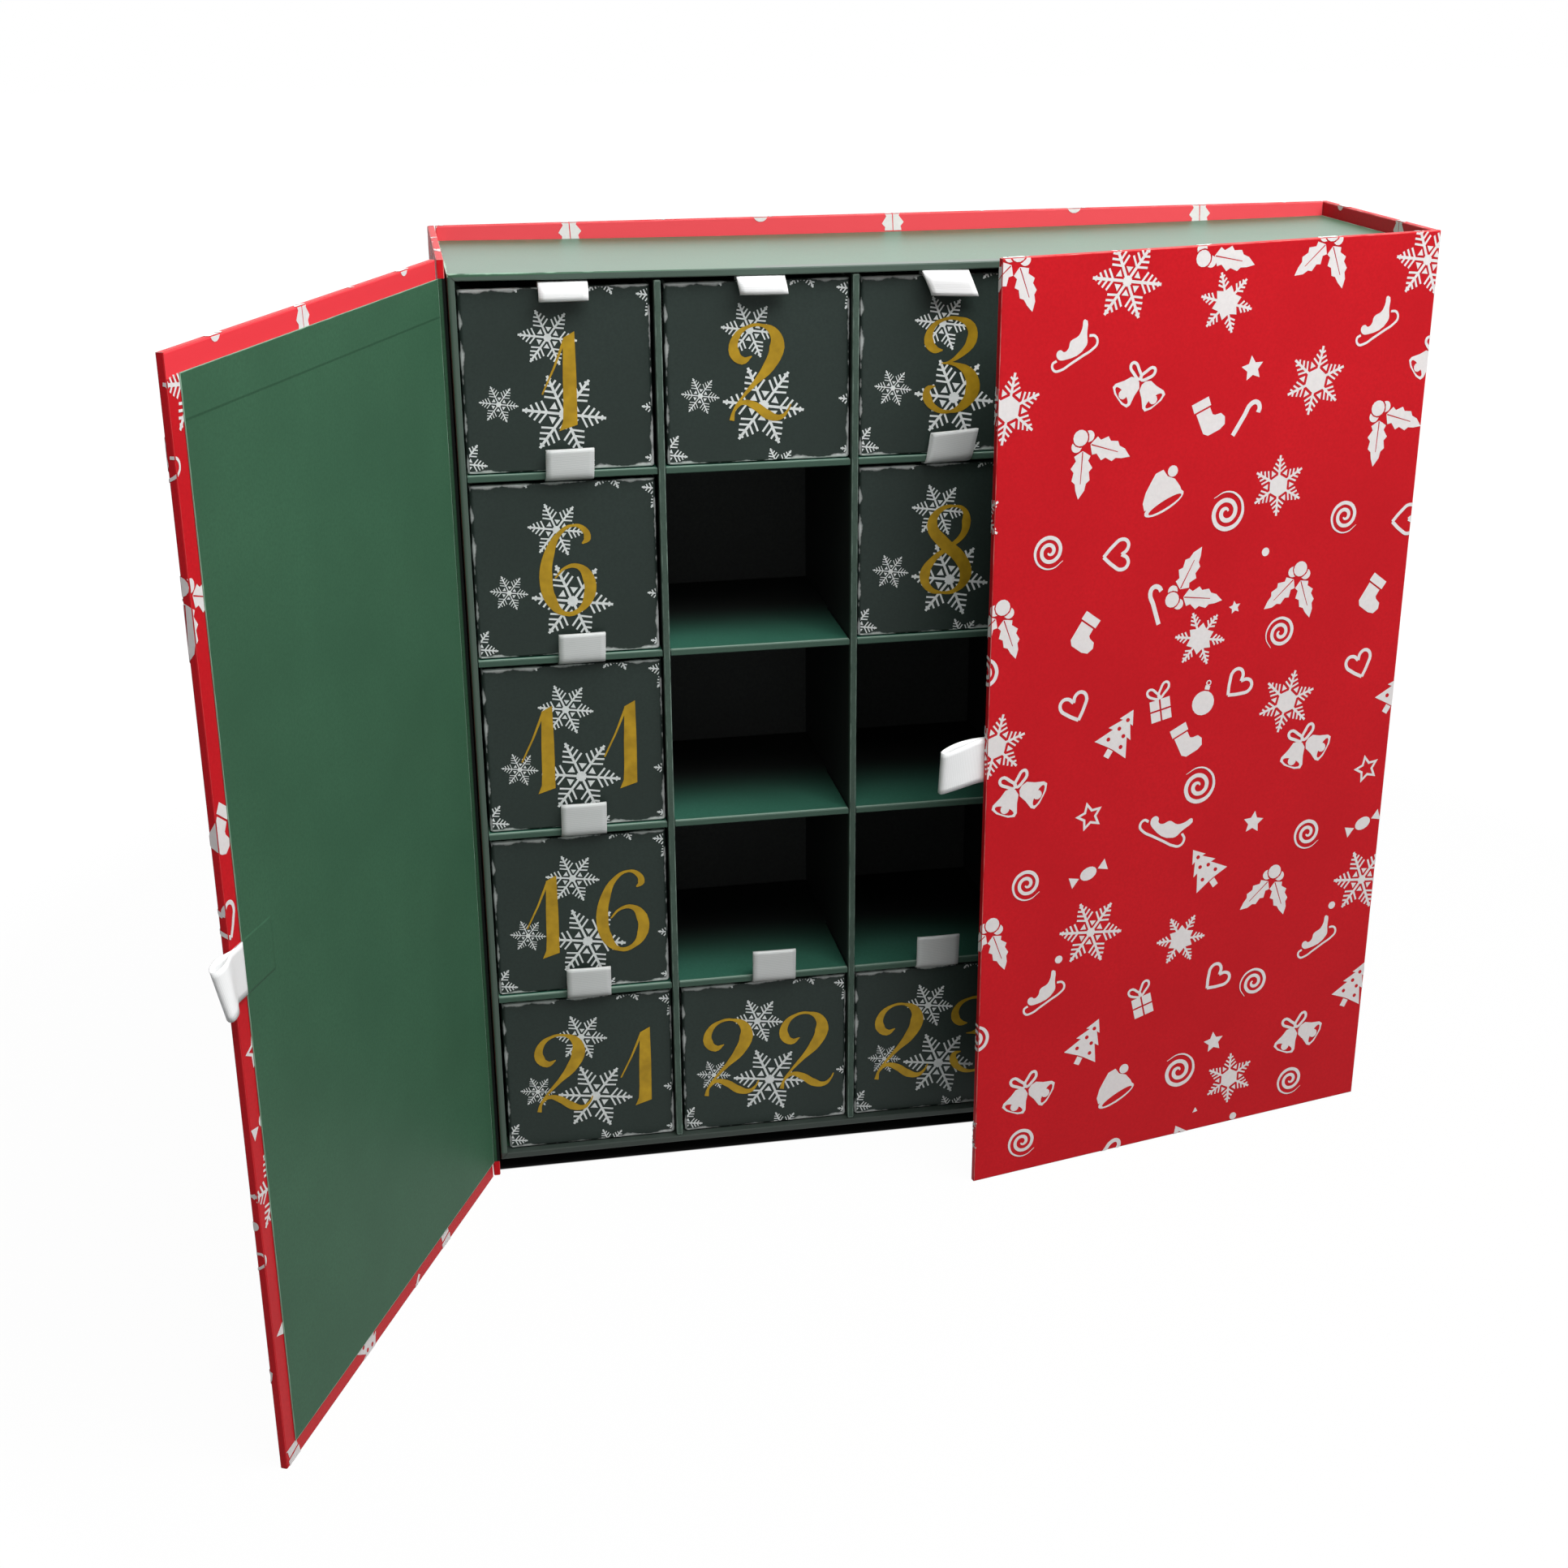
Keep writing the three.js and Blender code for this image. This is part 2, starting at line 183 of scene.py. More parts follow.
def worn_board(name, colour, deep, worn, centre, half, turn=0.0, wear=0.5, rough=0.5, grain=0.35,
               specular=0.5, shade=None):
    """Printed or dyed paper over grey board: flat colour, a faint fibre mottle, paler rubbed edges."""
    made, tree, surface = material(name, Roughness=rough, Specular_IOR_Level=specular)
    edge = add(tree, "ShaderNodeGroup", node_tree=EDGE_GROUP)
    edge.inputs["Centre"].default_value = [c * MM for c in centre]
    edge.inputs["Half"].default_value = [h * MM for h in half]
    edge.inputs["Turn"].default_value = (0, 0, math.radians(turn))
    place = edge.outputs["Place"]
    # Paper fibres run 0.3 to 1 mm, and the press leaves a slow drift of some 40 mm.
    fibre = add(tree, "ShaderNodeTexNoise", {"Vector": place, "Scale": 1300.0, "Detail": 2.0}).outputs[0]
    drift = add(tree, "ShaderNodeTexNoise", {"Vector": place, "Scale": 25.0, "Detail": 3.0}).outputs[0]
    blend = add(tree, "ShaderNodeMath", {0: fibre, 1: drift}, operation="MULTIPLY").outputs[0]
    tone = add(tree, "ShaderNodeMapRange", {0: blend, 1: 0.12, 2: 0.42}).outputs[0]
    body = add(tree, "ShaderNodeMix", {0: tone, 6: linear(deep), 7: linear(colour)},
               data_type="RGBA").outputs[2]
    # Rubbing follows the arris in broken lines a few millimetres long.
    broken = add(tree, "ShaderNodeTexNoise", {"Vector": place, "Scale": 160.0, "Detail": 4.0}).outputs[0]
    width = add(tree, "ShaderNodeMapRange",
                {0: broken, 1: 0.35, 2: 0.7, 3: 0.12 * MM, 4: wear * MM}).outputs[0]
    near = add(tree, "ShaderNodeMath", {0: edge.outputs["Distance"], 1: width}, operation="DIVIDE").outputs[0]
    rubbed = add(tree, "ShaderNodeMapRange", {0: near, 1: 0.5, 2: 1.3, 3: 0.85, 4: 0.0}).outputs[0]
    final = add(tree, "ShaderNodeMix", {0: rubbed, 6: body, 7: linear(worn)}, data_type="RGBA").outputs[2]
    if shade:
        # Painted shade: behind its front edge the paper goes over into black, between two depths.
        depth = add(tree, "ShaderNodeSeparateXYZ", {0: place}).outputs[1]
        near_end, far_end = [(reach - half[1]) * MM for reach in shade]
        dark = add(tree, "ShaderNodeMapRange", {0: depth, 1: near_end, 2: far_end},
                   interpolation_type="SMOOTHSTEP")
        final = add(tree, "ShaderNodeMix", {0: dark.outputs[0], 6: final, 7: linear("#1f2120")},
                    data_type="RGBA").outputs[2]
    tree.links.new(final, surface.inputs["Base Color"])
    bump = add(tree, "ShaderNodeBump", {"Height": fibre, "Strength": grain, "Distance": 0.03 * MM})
    tree.links.new(bump.outputs[0], surface.inputs["Normal"])
    return made, tree, surface, edge, bump


def case_paper(name, centre, half, turn=0.0, wear=0.25):
    # Red litho-printed art paper with a matt film: even red, broad soft sheen, pink-white along the arrises.
    return worn_board(
        name, "#d01a24", "#c41620", "#eaa6a0", centre, half, turn, wear=wear, rough=0.5, specular=0.15
    )


def dyed_paper(name, centre, half, turn=0.0, wear=0.35, rough=0.5, specular=0.15, shade=None,
               colour="#3f674e", deep="#385d46"):
    # Green dyed-through paper with a satin surface: deep green, pale mint where an edge is rubbed.
    return worn_board(
        name, colour, deep, "#9dc2aa", centre, half, turn, wear=wear, rough=rough, specular=specular,
        shade=shade
    )


def overlay(tree, surface, share, colour):
    """Lays a colour over a material's own, by a share."""
    own = surface.inputs["Base Color"].links[0].from_socket
    mixed = add(tree, "ShaderNodeMix", {0: share, 6: own, 7: colour}, data_type="RGBA").outputs[2]
    tree.links.new(mixed, surface.inputs["Base Color"])


def mottled_ink(name, thin, full, scale, detail, ends=None, **shader):
    """Printed ink that drifts faintly between two tones."""
    made, tree, surface = material(name, **shader)
    place = add(tree, "ShaderNodeTexCoord").outputs["Object"]
    tone = add(tree, "ShaderNodeTexNoise", {"Vector": place, "Scale": scale, "Detail": detail}).outputs[0]
    if ends:
        tone = add(tree, "ShaderNodeMapRange", {0: tone, 1: ends[0], 2: ends[1]}).outputs[0]
    colour = add(tree, "ShaderNodeMix", {0: tone, 6: linear(thin), 7: linear(full)},
                 data_type="RGBA").outputs[2]
    tree.links.new(colour, surface.inputs["Base Color"])
    return made


def raised(tree, place, low, high, soft=0.6):
    """A mask, in a board's own place, for what lies under its paper between two corners in millimetres."""
    parts = add(tree, "ShaderNodeSeparateXYZ", {0: place}).outputs
    mask = 1.0
    for axis in (0, 2):
        up = add(tree, "ShaderNodeMapRange", {0: parts[axis], 1: (low[axis] - soft) * MM, 2: low[axis] * MM})
        down = add(tree, "ShaderNodeMapRange",
                   {0: parts[axis], 1: high[axis] * MM, 2: (high[axis] + soft) * MM, 3: 1, 4: 0})
        both = add(tree, "ShaderNodeMath", {0: up.outputs[0], 1: down.outputs[0]},
                   operation="MULTIPLY").outputs[0]
        mask = add(tree, "ShaderNodeMath", {0: mask, 1: both}, operation="MULTIPLY").outputs[0]
    return mask


# The print: flat drawings in ink, made once each and laid on the papers

STROKE_STEPS = 4
# A stroke climbs as it goes, so that it never lies in its own plane where it crosses itself, and each later
# part of a drawing lies a layer over the one before.
STROKE_RISE = 0.004
INK_LAYER = 0.015


def face_up(work):
    for face in work.faces:
        if face.normal.z < 0:
            face.normal_flip()


def pen(*lines, width=1.0, closed=False, curved=False):
    """Flat pen strokes; a point may carry its own width."""
    curve = bpy.data.curves.new("stroke", "CURVE")
    curve.dimensions = "3D"
    curve.twist_mode = "Z_UP"
    curve.extrude = 0.5
    curve.resolution_u = STROKE_STEPS
    for line in lines:
        spline = curve.splines.new("BEZIER" if curved else "POLY")
        marks = spline.bezier_points if curved else spline.points
        marks.add(len(line) - 1)
        for step, (mark, (x, y, *own)) in enumerate(zip(marks, line)):
            mark.co = (x, y, step * STROKE_RISE) if curved else (x, y, 0, 1)
            mark.radius = own[0] if own else width
            mark.tilt = math.pi / 2
            if curved:
                mark.handle_left_type = mark.handle_right_type = "AUTO"
        spline.use_cyclic_u = closed
    return curve


def blot(*outlines, curved=False):
    """A filled flat shape; outlines inside the first are left open."""
    curve = bpy.data.curves.new("shape", "CURVE")
    curve.dimensions = "2D"
    curve.fill_mode = "BOTH"
    curve.resolution_u = STROKE_STEPS
    for outline in outlines:
        spline = curve.splines.new("BEZIER" if curved else "POLY")
        marks = spline.bezier_points if curved else spline.points
        marks.add(len(outline) - 1)
        for mark, (x, y) in zip(marks, outline):
            mark.co = (x, y, 0) if curved else (x, y, 0, 1)
            if curved:
                mark.handle_left_type = mark.handle_right_type = "AUTO"
        spline.use_cyclic_u = True
    return curve


def drawing(*curves):
    """Joins strokes and shapes into one flat mesh that faces +Z, each part just over the last."""
    flat = bmesh.new()
    for level, curve in enumerate(curves):
        holder = bpy.data.objects.new("stroke", curve)
        inked = bpy.data.meshes.new_from_object(holder)
        inked.transform(Matrix.Translation((0, 0, level * INK_LAYER)))
        flat.from_mesh(inked)
        bpy.data.objects.remove(holder)
        bpy.data.meshes.remove(inked)
        bpy.data.curves.remove(curve)
    flat.normal_update()
    face_up(flat)
    return as_mesh("drawing", flat)


def sized(figure, size):
    """A drawing made larger or smaller."""
    figure.transform(Matrix.Diagonal((size, size, 1, 1)))
    return figure


def polar(radius, degrees, x=0.0, y=0.0):
    angle = math.radians(degrees)
    return (x + radius * math.cos(angle), y + radius * math.sin(angle))


def ring(radius, x=0.0, y=0.0, points=14, squash=1.0):
    return [(x + radius * math.cos(a), y + squash * radius * math.sin(a))
            for a in (2 * math.pi * i / points for i in range(points))]


def star_points(outer, inner, tips, first=90.0):
    return [polar(outer if i % 2 == 0 else inner, first + 180 * i / tips) for i in range(2 * tips)]


# A snowflake's barbs: where each pair leaves its arm and how long it is, as shares of the flake's radius
BARBS = {
    "open": [(0.41, 0.31), (0.57, 0.25), (0.73, 0.17), (0.88, 0.07)],
    "star": [(0.5, 0.24), (0.66, 0.19), (0.82, 0.12)],
    "hexagon": [(0.44, 0.3), (0.61, 0.22), (0.79, 0.14)],
}
BARB_TURN = {"open": 58, "star": 52, "hexagon": 52}


def flake(radius, line, heart="open"):
    """A six-armed snowflake of pen strokes about a star, a hexagon or an open wheel."""
    spokes = [[(0, 0), polar(radius, 60 * arm)] for arm in range(6)]
    sides = []
    for arm in range(6):
        for start, length in BARBS[heart]:
            root = polar(radius * start, 60 * arm)
            sides += [[root,
                       polar(radius * length, 60 * arm + hand * BARB_TURN[heart], *root)] for hand in (-1, 1)]
    parts = [pen(*spokes, width=line), pen(*sides, width=line * 0.75)]
    if heart == "star":
        parts.append(blot(star_points(radius * 0.56, radius * 0.38, 6, 30)))
    else:
        middle = (0.38, 0) if heart == "hexagon" else (0.14, 30)
        parts.append(blot([polar(radius * middle[0], middle[1] + 60 * i) for i in range(6)]))
        base, tip, spread = (0.42, 0.6, 13) if heart == "hexagon" else (0.37, 0.2, 16)
        parts.append(blot(*[[polar(radius * base, between - spread), polar(radius * base, between + spread),
                             polar(radius * tip, between)] for between in range(30, 390, 60)]))
    return drawing(*parts)


LEAF_EDGE = [(3.0, 0.8), (4.2, 2.8), (5.6, 2.1), (7.8, 3.7), (9.0, 2.6), (11.5, 3.1), (12.5, 1.9),
             (14.6, 1.5)]
BERRY = 2.5
BERRY_GAP = 0.45


def holly(*leaves, size=1.0):
    """Spiked leaves with a bare midrib, and three berries where they meet, two tucked behind the first."""
    outline = [(2.6, 0.0), *LEAF_EDGE, (17.2, -0.4), *[(x, -y) for x, y in reversed(LEAF_EDGE)]]
    midrib = [(2.9, 0.2), (12.6, 0.12), (12.6, -0.12), (2.9, -0.2)]
    parts = []
    for angle in leaves:
        turned = Matrix.Rotation(math.radians(angle), 2) * size
        parts.append(blot(*[[tuple(turned @ Vector(point)) for point in line] for line in (outline, midrib)]))
    middle = sum(leaves) / len(leaves) + 180
    first = Vector(polar(1.7, middle))
    parts.append(blot([tuple(first + Vector(point)) for point in ring(BERRY)]))
    for turn in (-62, 62):
        tucked = []
        for point in ring(1.75, *polar(2.9, middle + 180 + turn, *first), 16):
            away = Vector(point) - first
            clear = BERRY + BERRY_GAP
            tucked.append(tuple(first + away * max(1.0, clear / away.length)))
        parts.append(blot(tucked))
    return drawing(*parts)


def sleigh(size):
    body = [(2.4, 8.4), (3.3, 3.8), (3.2, 0.4), (-4.2, -3.4), (-6.5, -2.9), (-6.9, -1.0), (-5.6, -0.3),
            (-4.4, -1.0), (-3.0, -0.1), (-2.3, 2.1), (0.4, 3.6), (1.5, 5.6)]
    runner = [(4.1, 3.4), (6.2, 3.1), (7.0, 1.0), (5.4, -0.8), (2.0, -2.6), (-2.0, -4.7), (-5.4, -6.4),
              (-7.6, -6.4), (-8.3, -4.4), (-6.9, -3.5)]
    return sized(drawing(blot(body, curved=True), pen(runner, width=0.8, curved=True)), size)


BELL_SIDE = [(0.9, 4.9), (2.7, 3.7), (3.5, 0.8), (5.0, -2.4), (4.8, -3.9), (2.4, -4.8)]


def bells(size):
    outline = [*BELL_SIDE, *[(-x, y) for x, y in reversed(BELL_SIDE)]]
    mouth = ring(3.9, 0, -3.0, 14, 0.34)
    clapper = ring(1.7, 0, -2.4, 10)
    parts = []
    for x, y, tilt in ((-4.7, -1.2, -52), (4.3, -3.4, 34)):
        turned = Matrix.Rotation(math.radians(tilt), 2)
        placed = [[tuple(turned @ Vector(point) + Vector((x, y))) for point in line]
                  for line in (outline, mouth, clapper)]
        parts += [blot(placed[0], placed[1]), blot(placed[2])]
    loops = [[(0, 2.2), (-2.6, 4.2), (-4.0, 7.0), (-2.6, 8.0), (-0.6, 5.4)],
             [(0.2, 2.2), (2.4, 4.6), (5.4, 5.6), (5.8, 4.0), (3.4, 2.3)]]
    return sized(drawing(*parts, pen(*loops, width=1.1, closed=True, curved=True)), size)


def stocking():
    boot = [(-3.3, 3.2), (2.2, 3.2), (2.4, 0.6), (3.2, 0.0), (5.4, -0.4), (6.4, -2.2), (5.6, -4.6),
            (3.4, -5.4), (-1.4, -5.4), (-2.9, -4.0)]
    cuff = [(-3.9, 3.8), (2.8, 3.8), (2.8, 6.9), (-3.9, 6.9)]
    return sized(drawing(blot(boot), blot(cuff)), 0.93)


def cane():
    return drawing(pen([(-3.0, -5.4), (0.2, 1.0), (1.9, 4.4), (4.0, 5.0), (5.2, 3.4), (4.9, 1.9)],
                       width=1.5, curved=True))


def hat():
    dome = [(-7.4, -0.4), (-7.0, 2.2), (-4.7, 5.0), (-1.7, 7.2), (0.9, 9.0), (3.9, 8.8), (4.5, 6.0),
            (6.6, 3.8), (7.4, 0.6), (7.4, -1.0)]
    brim = blot(ring(7.9, 0, -1.8, 22, 0.32), ring(6.7, 0.2, -2.2, 18, 0.2))
    return sized(drawing(blot(dome), brim, blot(ring(1.9, 6.8, 6.6))), 0.94)


def spiral(radius):
    turns = 2.3
    steps = 20
    line = []
    for i in range(steps + 1):
        share = i / steps
        width = radius * 0.2 * min(1.0, 0.35 + 4 * share, 0.15 + 3.4 * (1 - share))
        line.append((*polar(radius * (0.1 + 0.86 * share), 360 * turns * share), width))
    return drawing(pen(line, curved=True))


HEART_SIDE = [(0, 1.7), (1.4, 3.7), (3.6, 3.9), (4.8, 1.7), (3.1, -1.3), (0, -4.6)]


def heart():
    halves = [[(hand * x, y) for x, y in HEART_SIDE] for hand in (-1, 1)]
    return drawing(*[pen(half, width=1.15, curved=True) for half in halves])


def star(radius, hollow=False):
    outer = star_points(radius, radius * 0.5, 5)
    return drawing(blot(outer, star_points(radius * 0.66, radius * 0.32, 5)) if hollow else blot(outer))


def gift():
    side = 3.4
    quarters = [blot([(x, y), (x + side, y), (x + side, y + side), (x, y + side)])
                for x in (-3.7, 0.3) for y in (-6.0, -2.0)]
    loops = [[(0, 1.9), (-2.2, 2.3), (-4.2, 4.6), (-3.0, 5.6), (-1.0, 4.0)],
             [(0, 1.9), (1.8, 2.9), (3.9, 5.4), (2.8, 6.6), (0.8, 4.8)]]
    return drawing(*quarters, pen(*loops, width=0.85, closed=True, curved=True))


def bauble():
    return drawing(blot(ring(4.1, 0, -0.6, 18)), blot([(-0.9, 3.9), (0.9, 3.9), (0.9, 5.3), (-0.9, 5.3)]),
                   pen(ring(0.8, 0, 6.2, 8), width=0.4, closed=True))


TREE_EDGE = [(0, 7.6), (2.4, 3.9), (1.3, 4.1), (4.0, 0.4), (2.5, 0.6), (5.6, -4.4), (0.7, -4.0)]


def tree_figure():
    outline = [*TREE_EDGE, *[(-x, y) for x, y in reversed(TREE_EDGE[1:])]]
    dots = [ring(0.6, x, y, 8) for x, y in ((0.1, 4.6), (-0.9, 1.6), (1.4, 0.4), (-2.2, -2.2), (2.4, -2.4))]
    trunk = [(-0.9, -4.3), (0.9, -4.3), (0.9, -6.6), (-0.9, -6.6)]
    return sized(drawing(blot(outline, *dots), blot(trunk)), 1.22)


def sweet():
    ends = [blot([(hand * 3.6, 0), (hand * 6.9, 2.1), (hand * 6.9, -2.1)]) for hand in (-1, 1)]
    return drawing(blot(ring(3.1, 0, 0, 16, 0.72)), *ends)


FLAKE_OPEN = flake(11.7, 0.9)
FLAKE_STAR = flake(9.3, 0.75, "star")
FLAKE_HEXAGON = flake(10.6, 0.8, "hexagon")
FLAKE_HEXAGON_SMALL = flake(9.6, 0.75, "hexagon")
HOLLY_DOWN = holly(-139, -69, size=0.93)
HOLLY_TOP = holly(-12, 93)
HOLLY_RIGHT = holly(-18, -92)
HOLLY_UP = holly(63, -9)
SLEIGH = sleigh(0.96)
SLEIGH_LARGE = sleigh(1.12)
BELLS = bells(0.86)
BELLS_LARGE = bells(0.94)
STOCKING = stocking()
CANE = cane()
HAT = hat()
SPIRAL = spiral(6.0)
SPIRAL_LARGE = spiral(7.2)
HEART = heart()
STAR = star(4.0)
STAR_SMALL = star(2.2)
STAR_HOLLOW = star(5.2, True)
GIFT = gift()
BAUBLE = bauble()
TREE = tree_figure()
SWEET = sweet()
DOT = drawing(blot(ring(1.4)))
CHIP = drawing(blot([(-1.0, -0.9), (1.1, -0.6), (0.1, 1.1)]))

# One repeat of the case's print: drawing, place across, height on the board, and turn
REPEAT_WIDTH = 106.7
CASE_PRINT = [
    (HOLLY_DOWN, 115.0, 301.0, 0), (HOLLY_DOWN, 113.6, 197.0, 0), (HOLLY_DOWN, 113.6, 92.0, 0),
    (HOLLY_TOP, 71.5, 298.8, 0), (HOLLY_RIGHT, 32.5, 246.5, 0), (HOLLY_UP, 68.3, 194.8, 0),
    (FLAKE_OPEN, 44.7, 292.7, -8), (FLAKE_OPEN, 43.7, 84.3, -8),
    (FLAKE_STAR, 79.3, 284.3, -15), (FLAKE_HEXAGON, 113.7, 258.5, 20),
    (FLAKE_HEXAGON_SMALL, 103.0, 226.6, 30), (FLAKE_STAR, 78.0, 180.0, -10),
    (FLAKE_HEXAGON, 113.0, 154.2, 16.5), (FLAKE_STAR, 78.6, 75.2, -2), (FLAKE_HEXAGON_SMALL, 102.3, 17.5, 30),
    (SLEIGH, 28.9, 274.6, 0), (SLEIGH, 28.0, 65.2, 0), (SLEIGH_LARGE, 70.6, 115.6, -58),
    (BELLS, 50.8, 262.0, 0), (BELLS_LARGE, 14.7, 138.0, 28), (BELLS_LARGE, 22.4, 30.2, 26),
    (STAR, 90.2, 264.0, 8), (STAR_SMALL, 90.2, 188.8, 10), (STAR, 103.8, 113.2, -6),
    (STAR, 94.7, 33.2, 6), (STAR_HOLLOW, 41.0, 125.5, 14),
    (STOCKING, 75.2, 249.8, 22), (STOCKING, 35.6, 186.8, -36), (STOCKING, 75.0, 145.7, 24),
    (CANE, 88.3, 249.0, -6), (CANE, 60.6, 192.5, 46), (CANE, 53.3, -0.7, -16),
    (HAT, 61.0, 226.6, 25), (HAT, 56.3, 22.2, 25),
    (SPIRAL_LARGE, 84.5, 220.0, 27), (SPIRAL, 22.5, 214.3, -143), (SPIRAL, 108.3, 178.2, 127),
    (SPIRAL_LARGE, 81.2, 129.5, 27), (SPIRAL, 19.2, 105.7, -143), (SPIRAL, 109.2, 53.2, 127),
    (SPIRAL_LARGE, 81.3, 24.8, 27), (SPIRAL, 21.3, 11.2, -143),
    (HEART, 46.0, 210.6, -88), (HEART, 33.8, 163.2, 19), (HEART, 93.5, 162.6, -48), (HEART, 93.8, 57.8, -47),
    (DOT, 100.2, 205.7, 0), (DOT, 32.2, 76.7, 0), (DOT, 105.2, 1.8, 0),
    (GIFT, 64.7, 160.3, 10), (GIFT, 64.7, 55.3, 14), (BAUBLE, 81.0, 158.7, -14),
    (TREE, 50.2, 151.6, -32), (TREE, 86.2, 99.4, 34), (TREE, 44.4, 43.4, -27), (TREE, 85.5, -5.2, 24),
    (SWEET, 41.7, 105.5, 20), (CHIP, 89.2, 7.8, 0), (STOCKING, 29.0, -8.0, 10),
]
PRINT_REACH = 18.0
PRINT_LIFT = 0.06
ARRIS = 0.15


def stamp(target, mesh, place):
    """Adds a drawing to a bmesh at a place."""
    first = len(target.verts)
    target.from_mesh(mesh)
    target.verts.ensure_lookup_table()
    bmesh.ops.transform(target, matrix=place, verts=target.verts[first:])


def cut_to(target, left, right, bottom, top):
    for edge, normal in (((left, 0, 0), (-1, 0, 0)), ((right, 0, 0), (1, 0, 0)),
                         ((0, bottom, 0), (0, -1, 0)), ((0, top, 0), (0, 1, 0))):
        geometry = target.verts[:] + target.edges[:] + target.faces[:]
        bmesh.ops.bisect_plane(target, geom=geometry, plane_co=edge, plane_no=normal, clear_outer=True)


def axes(x_axis, y_axis, origin):
    """The place whose X and Y run along the given axes from the origin."""
    x, y = Vector(x_axis), Vector(y_axis)
    turned = Matrix((x, y, x.cross(y))).transposed().to_4x4()
    return Matrix.Translation(origin) @ turned


def paper_patch(start, left, right, bottom, top):
    """The case's print between these limits, where start is the sheet's place at the board's left edge."""
    patch = bmesh.new()
    for mesh, across, up, turn in CASE_PRINT:
        first = math.floor((start + left - PRINT_REACH - across) / REPEAT_WIDTH)
        last = math.ceil((start + right + PRINT_REACH - across) / REPEAT_WIDTH)
        for repeat in range(first, last + 1):
            x = across + repeat * REPEAT_WIDTH - start
            if left - PRINT_REACH < x < right + PRINT_REACH and bottom - PRINT_REACH < up < top + PRINT_REACH:
                stamp(patch, mesh, at(x, up) @ spun(turn))
    cut_to(patch, left, right, bottom, top)
    face_up(patch)
    return as_mesh("patch", patch)


def board_print(place, width, start, sides):
    """Prints a board's outer face and the named edges and turned-in margins, as one sheet folded round it."""
    height = CASE_HEIGHT
    lift = PRINT_LIFT
    wide = (ARRIS, width - ARRIS)
    tall = (ARRIS, height - ARRIS)
    turned = BOARD + LINER_MARGIN
    patches = {
        "outside": ((*wide, *tall), axes((1, 0, 0), (0, 0, 1), (0, -lift, 0))),
        "top": ((*wide, height + ARRIS, height + BOARD - ARRIS),
                axes((1, 0, 0), (0, 1, 0), (0, -height, height + lift))),
        "bottom": ((*wide, -BOARD + ARRIS, -ARRIS), axes((1, 0, 0), (0, -1, 0), (0, 0, -lift))),
        "right": ((width + ARRIS, width + BOARD - ARRIS, *tall),
                  axes((0, 1, 0), (0, 0, 1), (width + lift, -width, 0))),
        "left": ((-BOARD + ARRIS, -ARRIS, *tall), axes((0, -1, 0), (0, 0, 1), (-lift, 0, 0))),
        "inside top": ((*wide, height + BOARD + ARRIS, height + turned),
                       axes((1, 0, 0), (0, 0, -1), (0, BOARD + lift, 2 * height + BOARD))),
        "inside bottom": ((*wide, -turned, -BOARD - ARRIS),
                          axes((1, 0, 0), (0, 0, -1), (0, BOARD + lift, -BOARD))),
        "inside right": ((width + BOARD + ARRIS, width + turned, LINER_MARGIN, height - LINER_MARGIN),
                         axes((-1, 0, 0), (0, 0, 1), (2 * width + BOARD, BOARD + lift, 0))),
        "inside left": ((-turned, -BOARD - ARRIS, LINER_MARGIN, height - LINER_MARGIN),
                        axes((-1, 0, 0), (0, 0, 1), (-BOARD, BOARD + lift, 0))),
    }
    whole = bmesh.new()
    for side in sides:
        limits, fold = patches[side]
        patch = paper_patch(start, *limits)
        stamp(whole, patch, place @ fold)
        bpy.data.meshes.remove(patch)
    return whole


def finished(name, work, surface, body, smooth=False):
    """Turns a bmesh in millimetres into a piece of the object."""
    bmesh.ops.transform(work, matrix=Matrix.Scale(MM, 4), verts=work.verts)
    mesh = as_mesh(name, work)
    mesh.polygons.foreach_set("use_smooth", [smooth] * len(mesh.polygons))
    mesh.materials.append(surface)
    made = in_scene(name, mesh)
    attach(made, body)
    return made


# White screen-printed ink: opaque, flat, a little duller than the film round it, and faintly uneven.
white_ink = mottled_ink("white screen ink", "#e6e1e0", "#f3eeed", 900.0, 2.0, Roughness=0.55,
                        Specular_IOR_Level=0.15)

# Where each board starts on the sheets' repeat, and what the folds between the boards take up
FOLD = 2.5
LEFT_FOLD = 2.6
right_start = 3.65
side_start = 156.45
back_start = side_start + SIDE_DEPTH + FOLD
left_side_start = back_start + BACK_WIDTH + FOLD
left_door_start = left_side_start + SIDE_DEPTH + LEFT_FOLD
prints = [
    ("right_door_print", RIGHT_DOOR @ at(-DOOR_START - DOOR_WIDTH, -BOARD), DOOR_WIDTH, right_start,
     ("outside", "top", "bottom", "left", "inside top", "inside bottom", "inside left"), "right_door"),
    ("right_side_print", axes((0, 1, 0), (-1, 0, 0), (HINGE_X, SIDE_FRONT, 0)), SIDE_DEPTH, side_start,
     ("outside", "top", "bottom", "right", "inside top"), "case_and_tray"),
    ("back_print", axes((-1, 0, 0), (0, -1, 0), (BACK_WIDTH / 2, BACK_FACE, 0)), BACK_WIDTH, back_start,
     ("outside", "top", "bottom", "inside top"), "case_and_tray"),
    ("left_side_print", axes((0, -1, 0), (1, 0, 0), (-HINGE_X, BACK_FACE, 0)), SIDE_DEPTH, left_side_start,
     ("outside", "top", "bottom", "left", "inside top"), "case_and_tray"),
    ("left_door_print", LEFT_DOOR @ at(DOOR_START, -BOARD), DOOR_WIDTH, left_door_start,
     ("outside", "top", "bottom", "right", "inside top", "inside bottom", "inside right"), "left_door"),
]
for name, place, width, start, sides, body in prints:
    finished(name, board_print(place, width, start, sides), white_ink, body)


# Drawer fronts

FLAKE_TURN = -8
